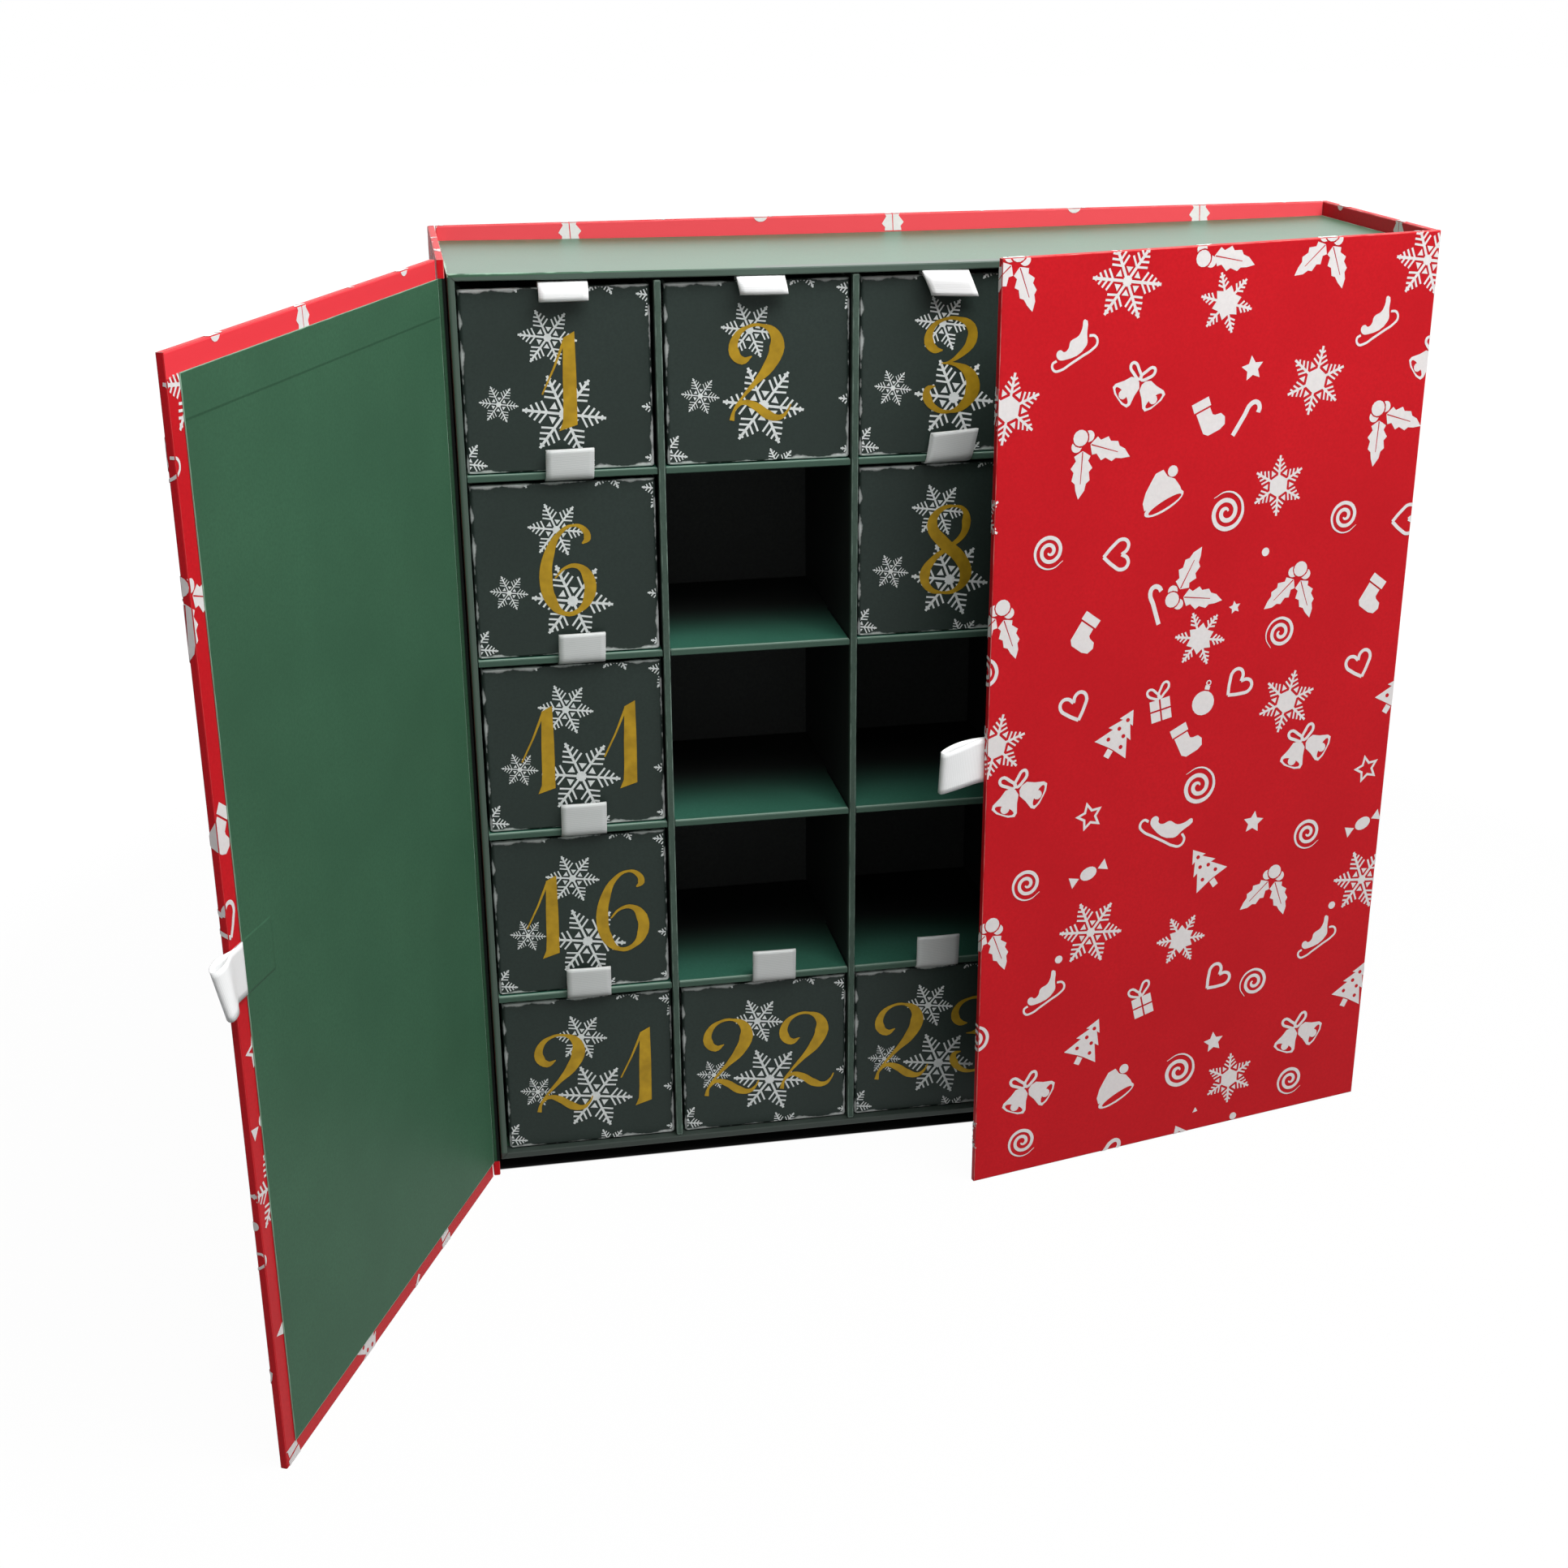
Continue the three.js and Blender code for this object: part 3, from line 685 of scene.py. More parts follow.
# Each flake: radius, width of its strokes, place across, and distance down from the front's top edge
DRAWER_FLAKES = [
    (8.7, 0.6, 25.6, 14.6), (12.5, 0.8, 29.6, 37.3), (5.8, 0.32, 10.4, 33.6),
    (7.0, 0.5, 58.9, 3.7), (7.0, 0.5, 59.7, 36.9), (7.0, 0.5, 60.3, 52.3),
    (7.0, 0.5, -0.8, 50.9), (6.5, 0.45, 34.0, 56.5), (7.0, 0.5, 42.2, -3.8),
    (7.0, 0.5, 14.6, -5.2), (7.0, 0.5, -6.2, 29.4),
]
# Numerals of a broad-nib pen, each on its own baseline: point, height and width of the stroke
DIGITS = {
    "0": ([[(8.5, 28.8, 0.7), (4.0, 26.0, 2.4), (1.9, 17.5, 4.0), (2.0, 9.0, 4.0), (4.2, 2.0, 2.2),
            (8.0, 0.4, 0.7), (12.6, 3.0, 2.4), (15.0, 11.5, 4.0), (15.2, 20.0, 4.0),
            (13.0, 27.0, 2.0)]], True, 17.0),
    "2": ([[(7.2, 19.8, 0.3), (4.4, 18.6, 2.4), (1.9, 21.0, 3.2), (2.4, 25.4, 2.2), (6.0, 28.5, 1.0),
            (10.5, 28.8, 0.9), (14.1, 26.4, 3.0), (14.9, 22.3, 4.6), (12.3, 16.5, 3.6), (8.3, 12.0, 1.6),
            (4.2, 7.5, 0.8), (1.5, 3.4, 0.9), (0.9, 0.7, 1.5)],
           [(1.7, 3.6, 0.4), (4.2, 6.0, 1.3), (8.0, 4.9, 2.4), (12.0, 2.0, 2.8), (15.6, 1.1, 1.6),
            (18.0, 3.0, 0.7), (19.0, 5.0, 0.4)]], False, 18.7),
    "3": ([[(6.3, 19.4, 0.4), (3.9, 19.7, 2.4), (2.0, 22.0, 3.0), (2.9, 26.2, 1.8), (6.5, 28.6, 0.9),
            (11.0, 28.7, 1.2), (15.0, 26.3, 2.8), (15.3, 22.0, 3.2), (11.8, 17.8, 1.8), (8.0, 15.7, 0.5),
            (6.0, 15.5, 0.3)],
           [(6.0, 15.5, 0.3), (10.5, 14.9, 1.2), (15.0, 11.8, 3.6), (16.0, 7.2, 4.6), (13.2, 2.4, 2.8),
            (9.0, 0.6, 0.9), (4.5, 1.6, 1.8), (1.8, 5.0, 2.8), (1.9, 7.8, 1.8),
            (4.2, 8.6, 0.4)]], False, 17.8),
    "5": ([[(3.9, 16.2, 0.5), (8.5, 17.6, 1.2), (13.8, 14.6, 3.4), (15.2, 8.6, 4.2), (12.2, 2.6, 2.8),
            (7.6, 0.6, 0.9), (3.2, 2.2, 2.0), (1.6, 5.6, 2.6), (3.8, 7.6, 0.5)],
           [(3.8, 16.2, 0.6), (5.6, 28.4, 0.7)],
           [(5.3, 27.9, 1.8), (10.5, 28.1, 2.4), (16.2, 29.4, 0.8)]], False, 17.3),
    "6": ([[(13.6, 22.8, 0.5), (15.2, 24.4, 2.2), (14.2, 27.3, 1.7), (11.0, 28.6, 0.8), (6.7, 26.2, 1.5),
            (3.4, 20.0, 3.2), (2.1, 12.8, 4.0), (3.4, 5.4, 3.6), (7.4, 1.0, 1.4), (12.0, 1.9, 1.6),
            (15.2, 6.6, 3.6), (15.0, 12.2, 3.6), (12.0, 15.8, 1.6), (8.0, 15.4, 0.9),
            (4.9, 12.4, 0.5)]], False, 17.3),
    "8": ([[(11.3, 28.5, 0.7), (6.4, 27.3, 1.8), (4.1, 22.8, 3.4), (7.6, 17.2, 3.9), (13.4, 11.6, 4.0),
            (15.3, 6.2, 3.8), (12.4, 1.5, 1.6), (7.6, 0.7, 0.8), (3.2, 2.6, 2.2), (2.0, 7.0, 3.4),
            (5.0, 12.0, 2.0), (10.0, 15.6, 1.2), (14.2, 19.4, 2.0), (15.1, 23.6, 2.9),
            (14.3, 27.2, 1.4)]], True, 17.7),
}
ONE_STEM = [(10.4, 29.1), (10.5, 16.0), (10.3, 1.5), (4.8, -0.2), (6.0, 2.6), (6.3, 7.0), (6.5, 16.0),
            (7.0, 27.3)]
ONE_HAIR = [(7.5, 27.0, 0.9), (4.0, 18.6, 0.6), (0.2, 10.9, 0.5)]
FOUR_STEM = [(14.6, 21.0), (14.3, 0.8), (10.0, 0.0), (10.6, 17.5)]
FOUR_LINES = [[(14.0, 29.1, 1.2), (8.0, 20.0, 0.8), (1.2, 9.3, 0.7)],
              [(0.6, 9.0, 1.2), (9.0, 8.8, 1.7), (18.0, 9.6, 1.0)]]
ONE_WIDTH = 10.4
FOUR_WIDTH = 18.0
SINGLE_CENTRE = 28.3
PAIR_CENTRES = (16.2, 42.2)
OWN_CENTRES = {16: (15.2, 41.2), 21: (19.0, 43.4)}
BASELINE = 12.1
FIGURE_HEIGHT = 29.1


def digit(figure):
    """One gold numeral, centred on x = 0 above its baseline."""
    if figure == "1":
        parts, width = [blot(ONE_STEM), pen(ONE_HAIR)], ONE_WIDTH
    elif figure == "4":
        parts, width = [blot(FOUR_STEM), pen(*FOUR_LINES)], FOUR_WIDTH
    else:
        lines, closed, width = DIGITS["6" if figure == "9" else figure]
        parts = [pen(line, closed=closed, curved=True) for line in lines]
    made = drawing(*parts)
    made.transform(at(-width / 2, 0))
    if figure == "9":
        # A nine is a six turned round.
        made.transform(at(0, FIGURE_HEIGHT) @ spun(180))
    return made


digits = {figure: digit(figure) for figure in "0123456789" if figure != "7"}
# Each flake: radius, width of its strokes, place across, and height
SIDE_FLAKES = [
    (12.5, 0.8, 20, 18), (8.7, 0.6, 44, 38), (5.8, 0.32, 12, 42), (7.0, 0.5, 60, 12),
    (5.8, 0.32, 40, 10), (7.0, 0.5, 66, 46), (7.0, 0.5, 24, 52),
]
flakes = {kind: flake(*kind) for kind in {(radius, line) for radius, line, _, _ in DRAWER_FLAKES}}


def flake_print(name, rows, width, side_clear, end_clear):
    """Snowflakes on one face of a drawer, cut short of its folds."""
    patch = bmesh.new()
    for radius, line, across, up in rows:
        stamp(patch, flakes[radius, line], at(across, up) @ spun(FLAKE_TURN))
    cut_to(patch, side_clear, width - side_clear, end_clear, DRAWER_HEIGHT - end_clear)
    return as_mesh(name, patch)


front_rows = [(radius, line, across, DRAWER_HEIGHT - down) for radius, line, across, down in DRAWER_FLAKES]
front_mesh = flake_print("drawer front", front_rows, DRAWER_WIDTH, 0.9, 0.4)
side_mesh = flake_print("drawer side", SIDE_FLAKES, DRAWER_DEPTH, 1.4, 0.6)

# Gold hot-foil ink: a warm metal film with soft gloss, rubbed slightly thin in places.
gold_ink = mottled_ink("gold foil ink", "#a07e15", "#bd971e", 260.0, 5.0, (0.3, 0.7), Roughness=0.46,
                       Metallic=0.35, Specular_IOR_Level=0.4)
# Bluish white ink on the dark card, thinner than the case's.
card_ink = mottled_ink("white ink on card", "#d2d7d6", "#f3f6f5", 700.0, 3.0, Roughness=0.55,
                       Specular_IOR_Level=0.3)


def drawer_corner(number):
    """The lower left corner of a drawer's front."""
    row, column = divmod(number - 1, COLUMNS)
    middle = (column - (COLUMNS - 1) / 2) * COLUMN_STEP + DRAWER_SHIFT.get(number, 0)
    floor = CELL_FLOOR + (ROWS - 1 - row) * ROW_STEP + DRAWER_LIFT
    return Vector((middle - DRAWER_WIDTH / 2, DRAWER_FRONT, floor))


NUMBER_LIFT = 0.14
for number in DRAWERS:
    corner = drawer_corner(number)
    label = f"{number:02d}"
    facing = axes((1, 0, 0), (0, 0, 1), corner - Vector((0, PRINT_LIFT, 0)))
    flakes_work = bmesh.new()
    stamp(flakes_work, front_mesh, facing)
    left_side = axes((0, -1, 0), (0, 0, 1), corner + Vector((-PRINT_LIFT, DRAWER_DEPTH, 0)))
    right_side = axes((0, 1, 0), (0, 0, 1), corner + Vector((DRAWER_WIDTH + PRINT_LIFT, 0, 0)))
    for side in (left_side, right_side):
        stamp(flakes_work, side_mesh, side)
    finished(f"snowflakes_{label}", flakes_work, card_ink, f"drawer_{label}")
    figures = str(number)
    centres = [SINGLE_CENTRE] if len(figures) == 1 else OWN_CENTRES.get(number, PAIR_CENTRES)
    number_work = bmesh.new()
    for figure, centre in zip(figures, centres):
        lifted = corner + Vector((centre, -NUMBER_LIFT, BASELINE))
        stamp(number_work, digits[figure], axes((1, 0, 0), (0, 0, 1), lifted))
    finished(f"number_{label}", number_work, gold_ink, f"drawer_{label}")


# Ribbons

CURVE_STEPS = 12


def smooth_line(points, steps):
    """Even steps along a smooth line through the given points."""
    dense = []
    ends = [points[0], *points, points[-1]]
    for a, b, c, d in zip(ends, ends[1:], ends[2:], ends[3:]):
        a, b, c, d = Vector(a), Vector(b), Vector(c), Vector(d)
        for i in range(CURVE_STEPS):
            t = i / CURVE_STEPS
            dense.append(0.5 * (2 * b + (c - a) * t + (2 * a - 5 * b + 4 * c - d) * t * t
                                + (3 * b - a - 3 * c + d) * t ** 3))
    dense.append(Vector(points[-1]))
    reach = [0.0]
    for before, after in zip(dense, dense[1:]):
        reach.append(reach[-1] + (after - before).length)
    line = []
    index = 0
    for step in range(steps + 1):
        wanted = reach[-1] * step / steps
        while index < len(dense) - 2 and reach[index + 1] < wanted:
            index += 1
        share = (wanted - reach[index]) / max(reach[index + 1] - reach[index], 1e-9)
        line.append(dense[index].lerp(dense[index + 1], min(1.0, share)))
    return line, reach[-1]


RIBBON_WIDTH = 14.4
RIBBON_THICK = 0.3
RIBBON_ACROSS = 8
PULL_STEPS = 44
LOOP_STEPS = 48
# The selvedge begins and is full at these distances from the band's middle.
SELVEDGE = (6.3, 6.6)


def ribbon(points, steps, shape):
    """A woven band along a line; shape(across, point) gives each vertex its place."""
    line, length = smooth_line(points, steps)
    work = bmesh.new()
    bmesh.ops.create_grid(work, x_segments=RIBBON_ACROSS, y_segments=steps, size=0.5, calc_uvs=True)
    layer = work.loops.layers.uv.verify()
    for face in work.faces:
        for loop in face.loops:
            loop[layer].uv = ((loop.vert.co.x + 0.5) * RIBBON_WIDTH * MM,
                              (loop.vert.co.y + 0.5) * length * MM)
    for vertex in work.verts:
        row = round((vertex.co.y + 0.5) * steps)
        vertex.co = shape(vertex.co.x * RIBBON_WIDTH, line[row])
    bmesh.ops.recalc_face_normals(work, faces=work.faces)
    bmesh.ops.solidify(work, geom=work.faces[:], thickness=RIBBON_THICK)
    bmesh.ops.recalc_face_normals(work, faces=work.faces)
    return work


def satin(name, hollow, crest):
    """Polyester satin: smooth, with a soft sheen across its fine weft ribs and a firm selvedge."""
    made, tree, surface = material(
        name, Roughness=0.38, Specular_IOR_Level=0.35, Sheen_Weight=0.2, Sheen_Roughness=0.4
    )
    place = add(tree, "ShaderNodeTexCoord").outputs["UV"]
    # The real weft is 0.1 mm apart; it is drawn at 0.45 mm, as coarse as it needs to show.
    weft = add(tree, "ShaderNodeTexWave", {"Vector": place, "Scale": 700.0, "Distortion": 0.4},
               wave_type="BANDS", bands_direction="Y").outputs[1]
    across = add(tree, "ShaderNodeSeparateXYZ", {0: place}).outputs[0]
    across = add(tree, "ShaderNodeMath", {0: across, 1: RIBBON_WIDTH / 2 * MM},
                 operation="SUBTRACT").outputs[0]
    across = add(tree, "ShaderNodeMath", {0: across}, operation="ABSOLUTE").outputs[0]
    selvedge = add(tree, "ShaderNodeMapRange",
                   {0: across, 1: SELVEDGE[0] * MM, 2: SELVEDGE[1] * MM}).outputs[0]
    weave = add(tree, "ShaderNodeMath", {0: weft, 1: selvedge}, operation="ADD").outputs[0]
    tone = add(tree, "ShaderNodeMix", {0: weft, 6: linear(hollow), 7: linear(crest)},
               data_type="RGBA").outputs[2]
    tree.links.new(tone, surface.inputs["Base Color"])
    bump = add(tree, "ShaderNodeBump", {"Height": weave, "Strength": 0.4, "Distance": 0.05 * MM}).outputs[0]
    tree.links.new(bump, surface.inputs["Normal"])
    return made


# The doors' loops and the uppermost pulls are clean white; the pulls between the drawers are painted greyer:
# painted shade.
white_satin = satin("white satin ribbon", "#f6f7f7", "#fcfdfd")
shaded_satin = satin("white satin ribbon in painted shade", "#c6c9c8", "#d6d8d7")

# Each pull: left edge from its drawer's left edge, height over the rim, lean in degrees, and lateral skew
PULLS = {
    1: (23.3, 0.0, 0.0, 0.0), 2: (21.6, 0.0, -1.0, 0.8), 3: (18.6, 2.4, -3.0, 1.7), 4: (20.4, 0.0, 1.5, 0.5),
    5: (21.8, 0.0, -1.0, -0.6), 6: (23.0, 10.6, 1.0, 0.6), 8: (20.3, 10.9, 6.0, 3.0),
    9: (20.7, 10.4, -2.0, 0.0), 10: (22.2, 11.0, 1.0, 0.4), 11: (24.0, 10.8, 1.0, 0.5),
    14: (21.0, 10.5, 2.0, 0.6), 15: (20.2, 11.2, -2.0, 0.0), 16: (22.6, 12.2, 0.0, 0.3),
    19: (20.8, 10.8, 1.0, 0.0), 20: (21.6, 11.1, -1.0, 0.4), 21: (21.6, 12.0, -1.0, 0.2),
    22: (23.8, 12.6, -1.0, 0.2), 23: (20.6, 12.8, 0.0, 0.3), 24: (21.4, 11.2, 2.0, 0.0),
    25: (20.3, 10.9, -1.5, 0.3),
}


def standing_line(height):
    """From the glue inside the drawer, over its rim, up before the shelf, folded, and back the same way."""
    return [(2.4, -9.0), (2.4, -3.0), (2.0, -0.2), (0.8, 0.55), (-1.2, 0.75), (-2.6, 1.6), (-2.95, 3.4),
            (-2.95, height * 0.6), (-2.9, height - 0.5), (-2.55, height), (-2.2, height - 0.5),
            (-2.2, height * 0.6), (-2.2, 3.2), (-1.9, 1.9), (-1.0, 1.2), (0.8, 1.0), (2.3, 0.3), (2.85, -2.6),
            (2.85, -8.0)]


def hanging_line(droop):
    """From inside, over the rim and down over the drawer's front, folded, and back underneath."""
    low = -3.3 - droop
    return [(2.85, -8.0), (2.85, -2.6), (2.3, 0.5), (0.8, 1.25), (-1.4, 1.4), (-3.2, 0.6), (-4.05, -1.2),
            (-4.15, low * 0.7), (-4.2, low), (-3.9, low - 0.35), (-3.6, low), (-3.5, low * 0.7), (-3.3, -1.2),
            (-2.6, -0.1), (-1.2, 0.65), (0.8, 0.65), (2.0, 0.0), (2.4, -3.0), (2.4, -9.0)]


for number, (left, height, lean, skew) in PULLS.items():
    label = f"{number:02d}"
    corner = drawer_corner(number)
    rim = corner + Vector((left + RIBBON_WIDTH / 2, 0, DRAWER_HEIGHT))
    top_row = number <= COLUMNS
    line = hanging_line(height) if top_row else standing_line(height)
    slope = math.tan(math.radians(lean))

    def pull_shape(across, point, rim=rim, slope=slope, skew=skew, top_row=top_row):
        y, z = point
        free = max(0.0, -y - 0.5) / 3.0
        tilt = across * slope * min(1.0, free)
        drift = skew * (-z / 4.0 if top_row else z / 11.0) * min(1.0, free)
        bow = 0.25 * math.cos(across / RIBBON_WIDTH * math.pi) * min(1.0, free)
        return rim + Vector((across + drift, y - bow + 0.1, z + tilt))

    woven = white_satin if top_row else shaded_satin
    band = ribbon(line, PULL_STEPS, pull_shape)
    pull = finished(f"ribbon_pull_{label}", band, woven, f"drawer_{label}", smooth=True)
    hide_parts(f"pull_tab_{label}")
    above = number - COLUMNS
    if above in DRAWERS:
        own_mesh(pull)


def loop_line(start, neck, tip, half):
    """A door loop in plan: out from under the liner, round past the free edge and back."""
    middle = 0.55
    return [(start, middle - 0.2), (neck - 1.5, middle - 0.2), (neck + 0.5, middle - 0.35),
            (neck + (tip - neck) * 0.55, middle - half), (tip - 0.9, middle - half * 0.75), (tip, middle),
            (tip - 0.9, middle + half * 0.75), (neck + (tip - neck) * 0.55, middle + half),
            (neck + 0.5, middle + 0.45), (neck - 1.5, middle + 0.25), (start, middle + 0.25)]


FREE_EDGE = DOOR_START + DOOR_WIDTH
LOOP_START = FREE_EDGE - LINER_MARGIN + 0.4
DOOR_LOOPS = [
    # door, its place, hand, how far the loop reaches at its upper and lower edge, its middle height, sag,
    # half depth and twist; then its depth and share of thickness where it lies flat with the left door shut
    ("left", LEFT_DOOR, 1, 7.8, 7.6, 148.8, 2.0, 1.7, 0.24, 2.25, 0.1),
    ("right", RIGHT_DOOR, -1, 13.9, 14.7, 149.5, 2.5, 1.7, 0.0, 1.5, 0.25),
]
for name, place, hand, upper, lower, middle, sag, half, twist, flat, keep in DOOR_LOOPS:
    longest = max(upper, lower)
    line = loop_line(LOOP_START, FREE_EDGE + 0.3, FREE_EDGE + longest, half)

    def loop_shape(across, point, place=place, hand=hand, upper=upper, lower=lower, middle=middle, sag=sag,
                   twist=twist, longest=longest):
        s, y = point
        past = max(0.0, s - FREE_EDGE) / longest
        shorter = lower + (upper - lower) * (across / RIBBON_WIDTH + 0.5)
        reach = FREE_EDGE + (s - FREE_EDGE) * shorter / longest if s > FREE_EDGE else s
        z = middle + across * (1 - 0.09 * past) - sag * past * past - (upper - lower) * 0.18 * past
        return place @ Vector((hand * reach, y - twist * across * past, z))

    band = ribbon(line, LOOP_STEPS, loop_shape)
    loop = finished(f"ribbon_loop_{name}", band, white_satin, f"{name}_door", smooth=True)
    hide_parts(f"{name}_door_ribbon")
    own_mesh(loop)


# Green paper that lines each hinge: it covers the side board's front edge and rounds the crease to the liner.

CREASE = 0.36
LINING_THICK = 0.07
LINING_GAP = 0.01
LINING_OVERLAP = 0.05
# Painted shadow: the lining goes to black between these distances inside the hinge, beside the tray.
SHADOW_DIP = (1.5, 1.1)
# Its paper has no rubbed edges, so it is given a body that ends far outside it.
fold_middle = (0, 0, CASE_HEIGHT / 2)
fold_half = (400, 400, 400)
# The same green paper in the fold: dull beside the crease, and painted nearly black towards the tray as
# shadow.
lining_paper, tree, surface, edge, bump = worn_board(
    "green paper, hinge lining with painted shadow", "#34573f", "#2c4a36", "#34573f", fold_middle, fold_half, rough=0.7,
    specular=0.1)
across = add(tree, "ShaderNodeSeparateXYZ", {0: edge.outputs["Place"]}).outputs[0]
across = add(tree, "ShaderNodeMath", {0: across}, operation="ABSOLUTE").outputs[0]
lit = add(tree, "ShaderNodeMapRange",
          {0: across, 1: (HINGE_X - SHADOW_DIP[0]) * MM, 2: (HINGE_X - SHADOW_DIP[1]) * MM}).outputs[0]
green = surface.inputs["Base Color"].links[0].from_socket
lit = add(tree, "ShaderNodeMix", {0: lit, 6: linear("#080c0a"), 7: green}, data_type="RGBA").outputs[2]
tree.links.new(lit, surface.inputs["Base Color"])
# The crease: the same green paper, painted near black as painted shade.
shaded_crease_paper = worn_board(
    "green paper, crease in painted shade", "#0a130f", "#070d0a", "#0a130f", fold_middle, fold_half, rough=0.8,
    specular=0.1)[0]
for name, hand in (("left", -1), ("right", 1)):
    lining = bmesh.new()
    bmesh.ops.create_cube(lining, size=1.0)
    inner = HINGE_X - BOARD - LINING_OVERLAP
    width = HINGE_X - inner - CREASE
    height = CASE_HEIGHT - 2 * LINER_MARGIN
    size = Matrix.Diagonal((width, LINING_THICK, height, 1))
    centre = at(hand * (inner + width / 2), SIDE_FRONT - LINING_GAP - LINING_THICK / 2, CASE_HEIGHT / 2)
    bmesh.ops.transform(lining, matrix=centre @ size, verts=lining.verts)
    finished(f"hinge_lining_{name}", lining, lining_paper, "case_and_tray")
    crease = bmesh.new()
    bmesh.ops.create_cone(crease, cap_ends=True, segments=12, radius1=CREASE, radius2=CREASE, depth=height)
    place = at(hand * HINGE_X, HINGE_Y, CASE_HEIGHT / 2)
    bmesh.ops.transform(crease, matrix=place, verts=crease.verts)
    finished(f"hinge_crease_{name}", crease, shaded_crease_paper, "case_and_tray")


# Finishes for the boards and cards that the frame already has the shape of

def dress(node, surface):
    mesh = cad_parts[node].data
    mesh.materials.clear()
    mesh.materials.append(surface)


half_height = CASE_HEIGHT / 2
TURN_IN = 285.6
# Height of the inner top strip painted paler as a painted highlight
HIGHLIGHT_STRIP = 6.0
LINER_MIDDLE = 0.225
LINER_HALF = 0.125
# The ribbon's end under the liner: its middle across, half width, and lower and upper ends from mid-height
STRAP_PLACE = 65.5
STRAP_HALF = 7
STRAP_LOW = -9.2
STRAP_HIGH = 4.8
back_half = (BACK_WIDTH / 2, BOARD / 2, half_height)
side_middle = SIDE_FRONT + SIDE_DEPTH / 2


def pale_margin(parts, half, side, colour):
    """Makes a board's inner top strip paler than its faces, a painted highlight; side is -1 where its front
    is the inside.
    """
    made, tree, surface, edge, bump = parts
    place = add(tree, "ShaderNodeSeparateXYZ", {0: edge.outputs["Place"]}).outputs
    inward = add(tree, "ShaderNodeMath", {0: place[1], 1: side}, operation="MULTIPLY").outputs[0]
    inside = add(tree, "ShaderNodeMath", {0: inward, 1: (half[1] - 0.1) * MM},
                 operation="GREATER_THAN").outputs[0]
    top = add(tree, "ShaderNodeMath", {0: place[2], 1: (half[2] - HIGHLIGHT_STRIP) * MM},
              operation="GREATER_THAN").outputs[0]
    strip = add(tree, "ShaderNodeMath", {0: inside, 1: top}, operation="MULTIPLY").outputs[0]
    overlay(tree, surface, strip, linear(colour))
    return made


back_paper = case_paper("red art paper, back", (0, 0, half_height), back_half)
# The back's inner top strip is painted pink as a painted highlight.
dress("back_board", pale_margin(back_paper, back_half, -1, "#f2525a"))
for name, hand in (("left", -1), ("right", 1)):
    centre = (hand * (HINGE_X - BOARD / 2), side_middle, half_height)
    half = (BOARD / 2, SIDE_DEPTH / 2, half_height)
    dress(f"{name}_side_board", case_paper(f"red art paper, {name} side", centre, half)[0])
for name, place, hand, turn in (("left", LEFT_DOOR, 1, -LEFT_DOOR_ANGLE),
                                ("right", RIGHT_DOOR, -1, RIGHT_DOOR_ANGLE)):
    centre = place @ Vector((hand * (DOOR_START + DOOR_WIDTH / 2), -BOARD / 2, half_height))
    half = (DOOR_WIDTH / 2, BOARD / 2, half_height)
    door_paper = case_paper(f"red art paper, {name} door", centre, half, turn,
                            wear=0.12 if name == "left" else 0.25)
    dress(f"{name}_door_board", pale_margin(door_paper, half, 1, "#f23d47"))
    liner_end = FREE_EDGE - LINER_MARGIN
    liner_middle = hand * (LINER_START + liner_end) / 2
    centre = place @ Vector((liner_middle, LINER_MIDDLE, half_height))
    half = ((liner_end - LINER_START) / 2, LINER_HALF, half_height - LINER_MARGIN)
    lining, tree, surface, edge, bump = dyed_paper(
        f"green dyed paper, {name} door", centre, half, turn, wear=0.25, specular=0.08)
    # Under it lie the red paper's turned-in edges and the end of the ribbon.
    place_in = edge.outputs["Place"]
    turned_in = raised(tree, place_in, (-100, 0, TURN_IN - half_height), (100, 0, 200))
    strap = raised(tree, place_in, (hand * STRAP_PLACE - STRAP_HALF, 0, STRAP_LOW),
                   (hand * STRAP_PLACE + STRAP_HALF, 0, STRAP_HIGH))
    height = add(tree, "ShaderNodeMath", {0: strap, 1: 1.6, 2: turned_in},
                 operation="MULTIPLY_ADD").outputs[0]
    lumps = add(tree, "ShaderNodeBump", {"Height": height, "Normal": bump.outputs[0], "Distance": 0.12 * MM})
    tree.links.new(lumps.outputs[0], surface.inputs["Normal"])
    dress(f"{name}_door_liner", lining)

tray_middle = (0, (TRAY_FRONT + TRAY_BACK) / 2, (TRAY_BOTTOM + TRAY_TOP) / 2)
tray_half = (TRAY_WIDTH / 2, (TRAY_BACK - TRAY_FRONT) / 2, (TRAY_TOP - TRAY_BOTTOM) / 2)
BOTTOM_WALL = 2.4


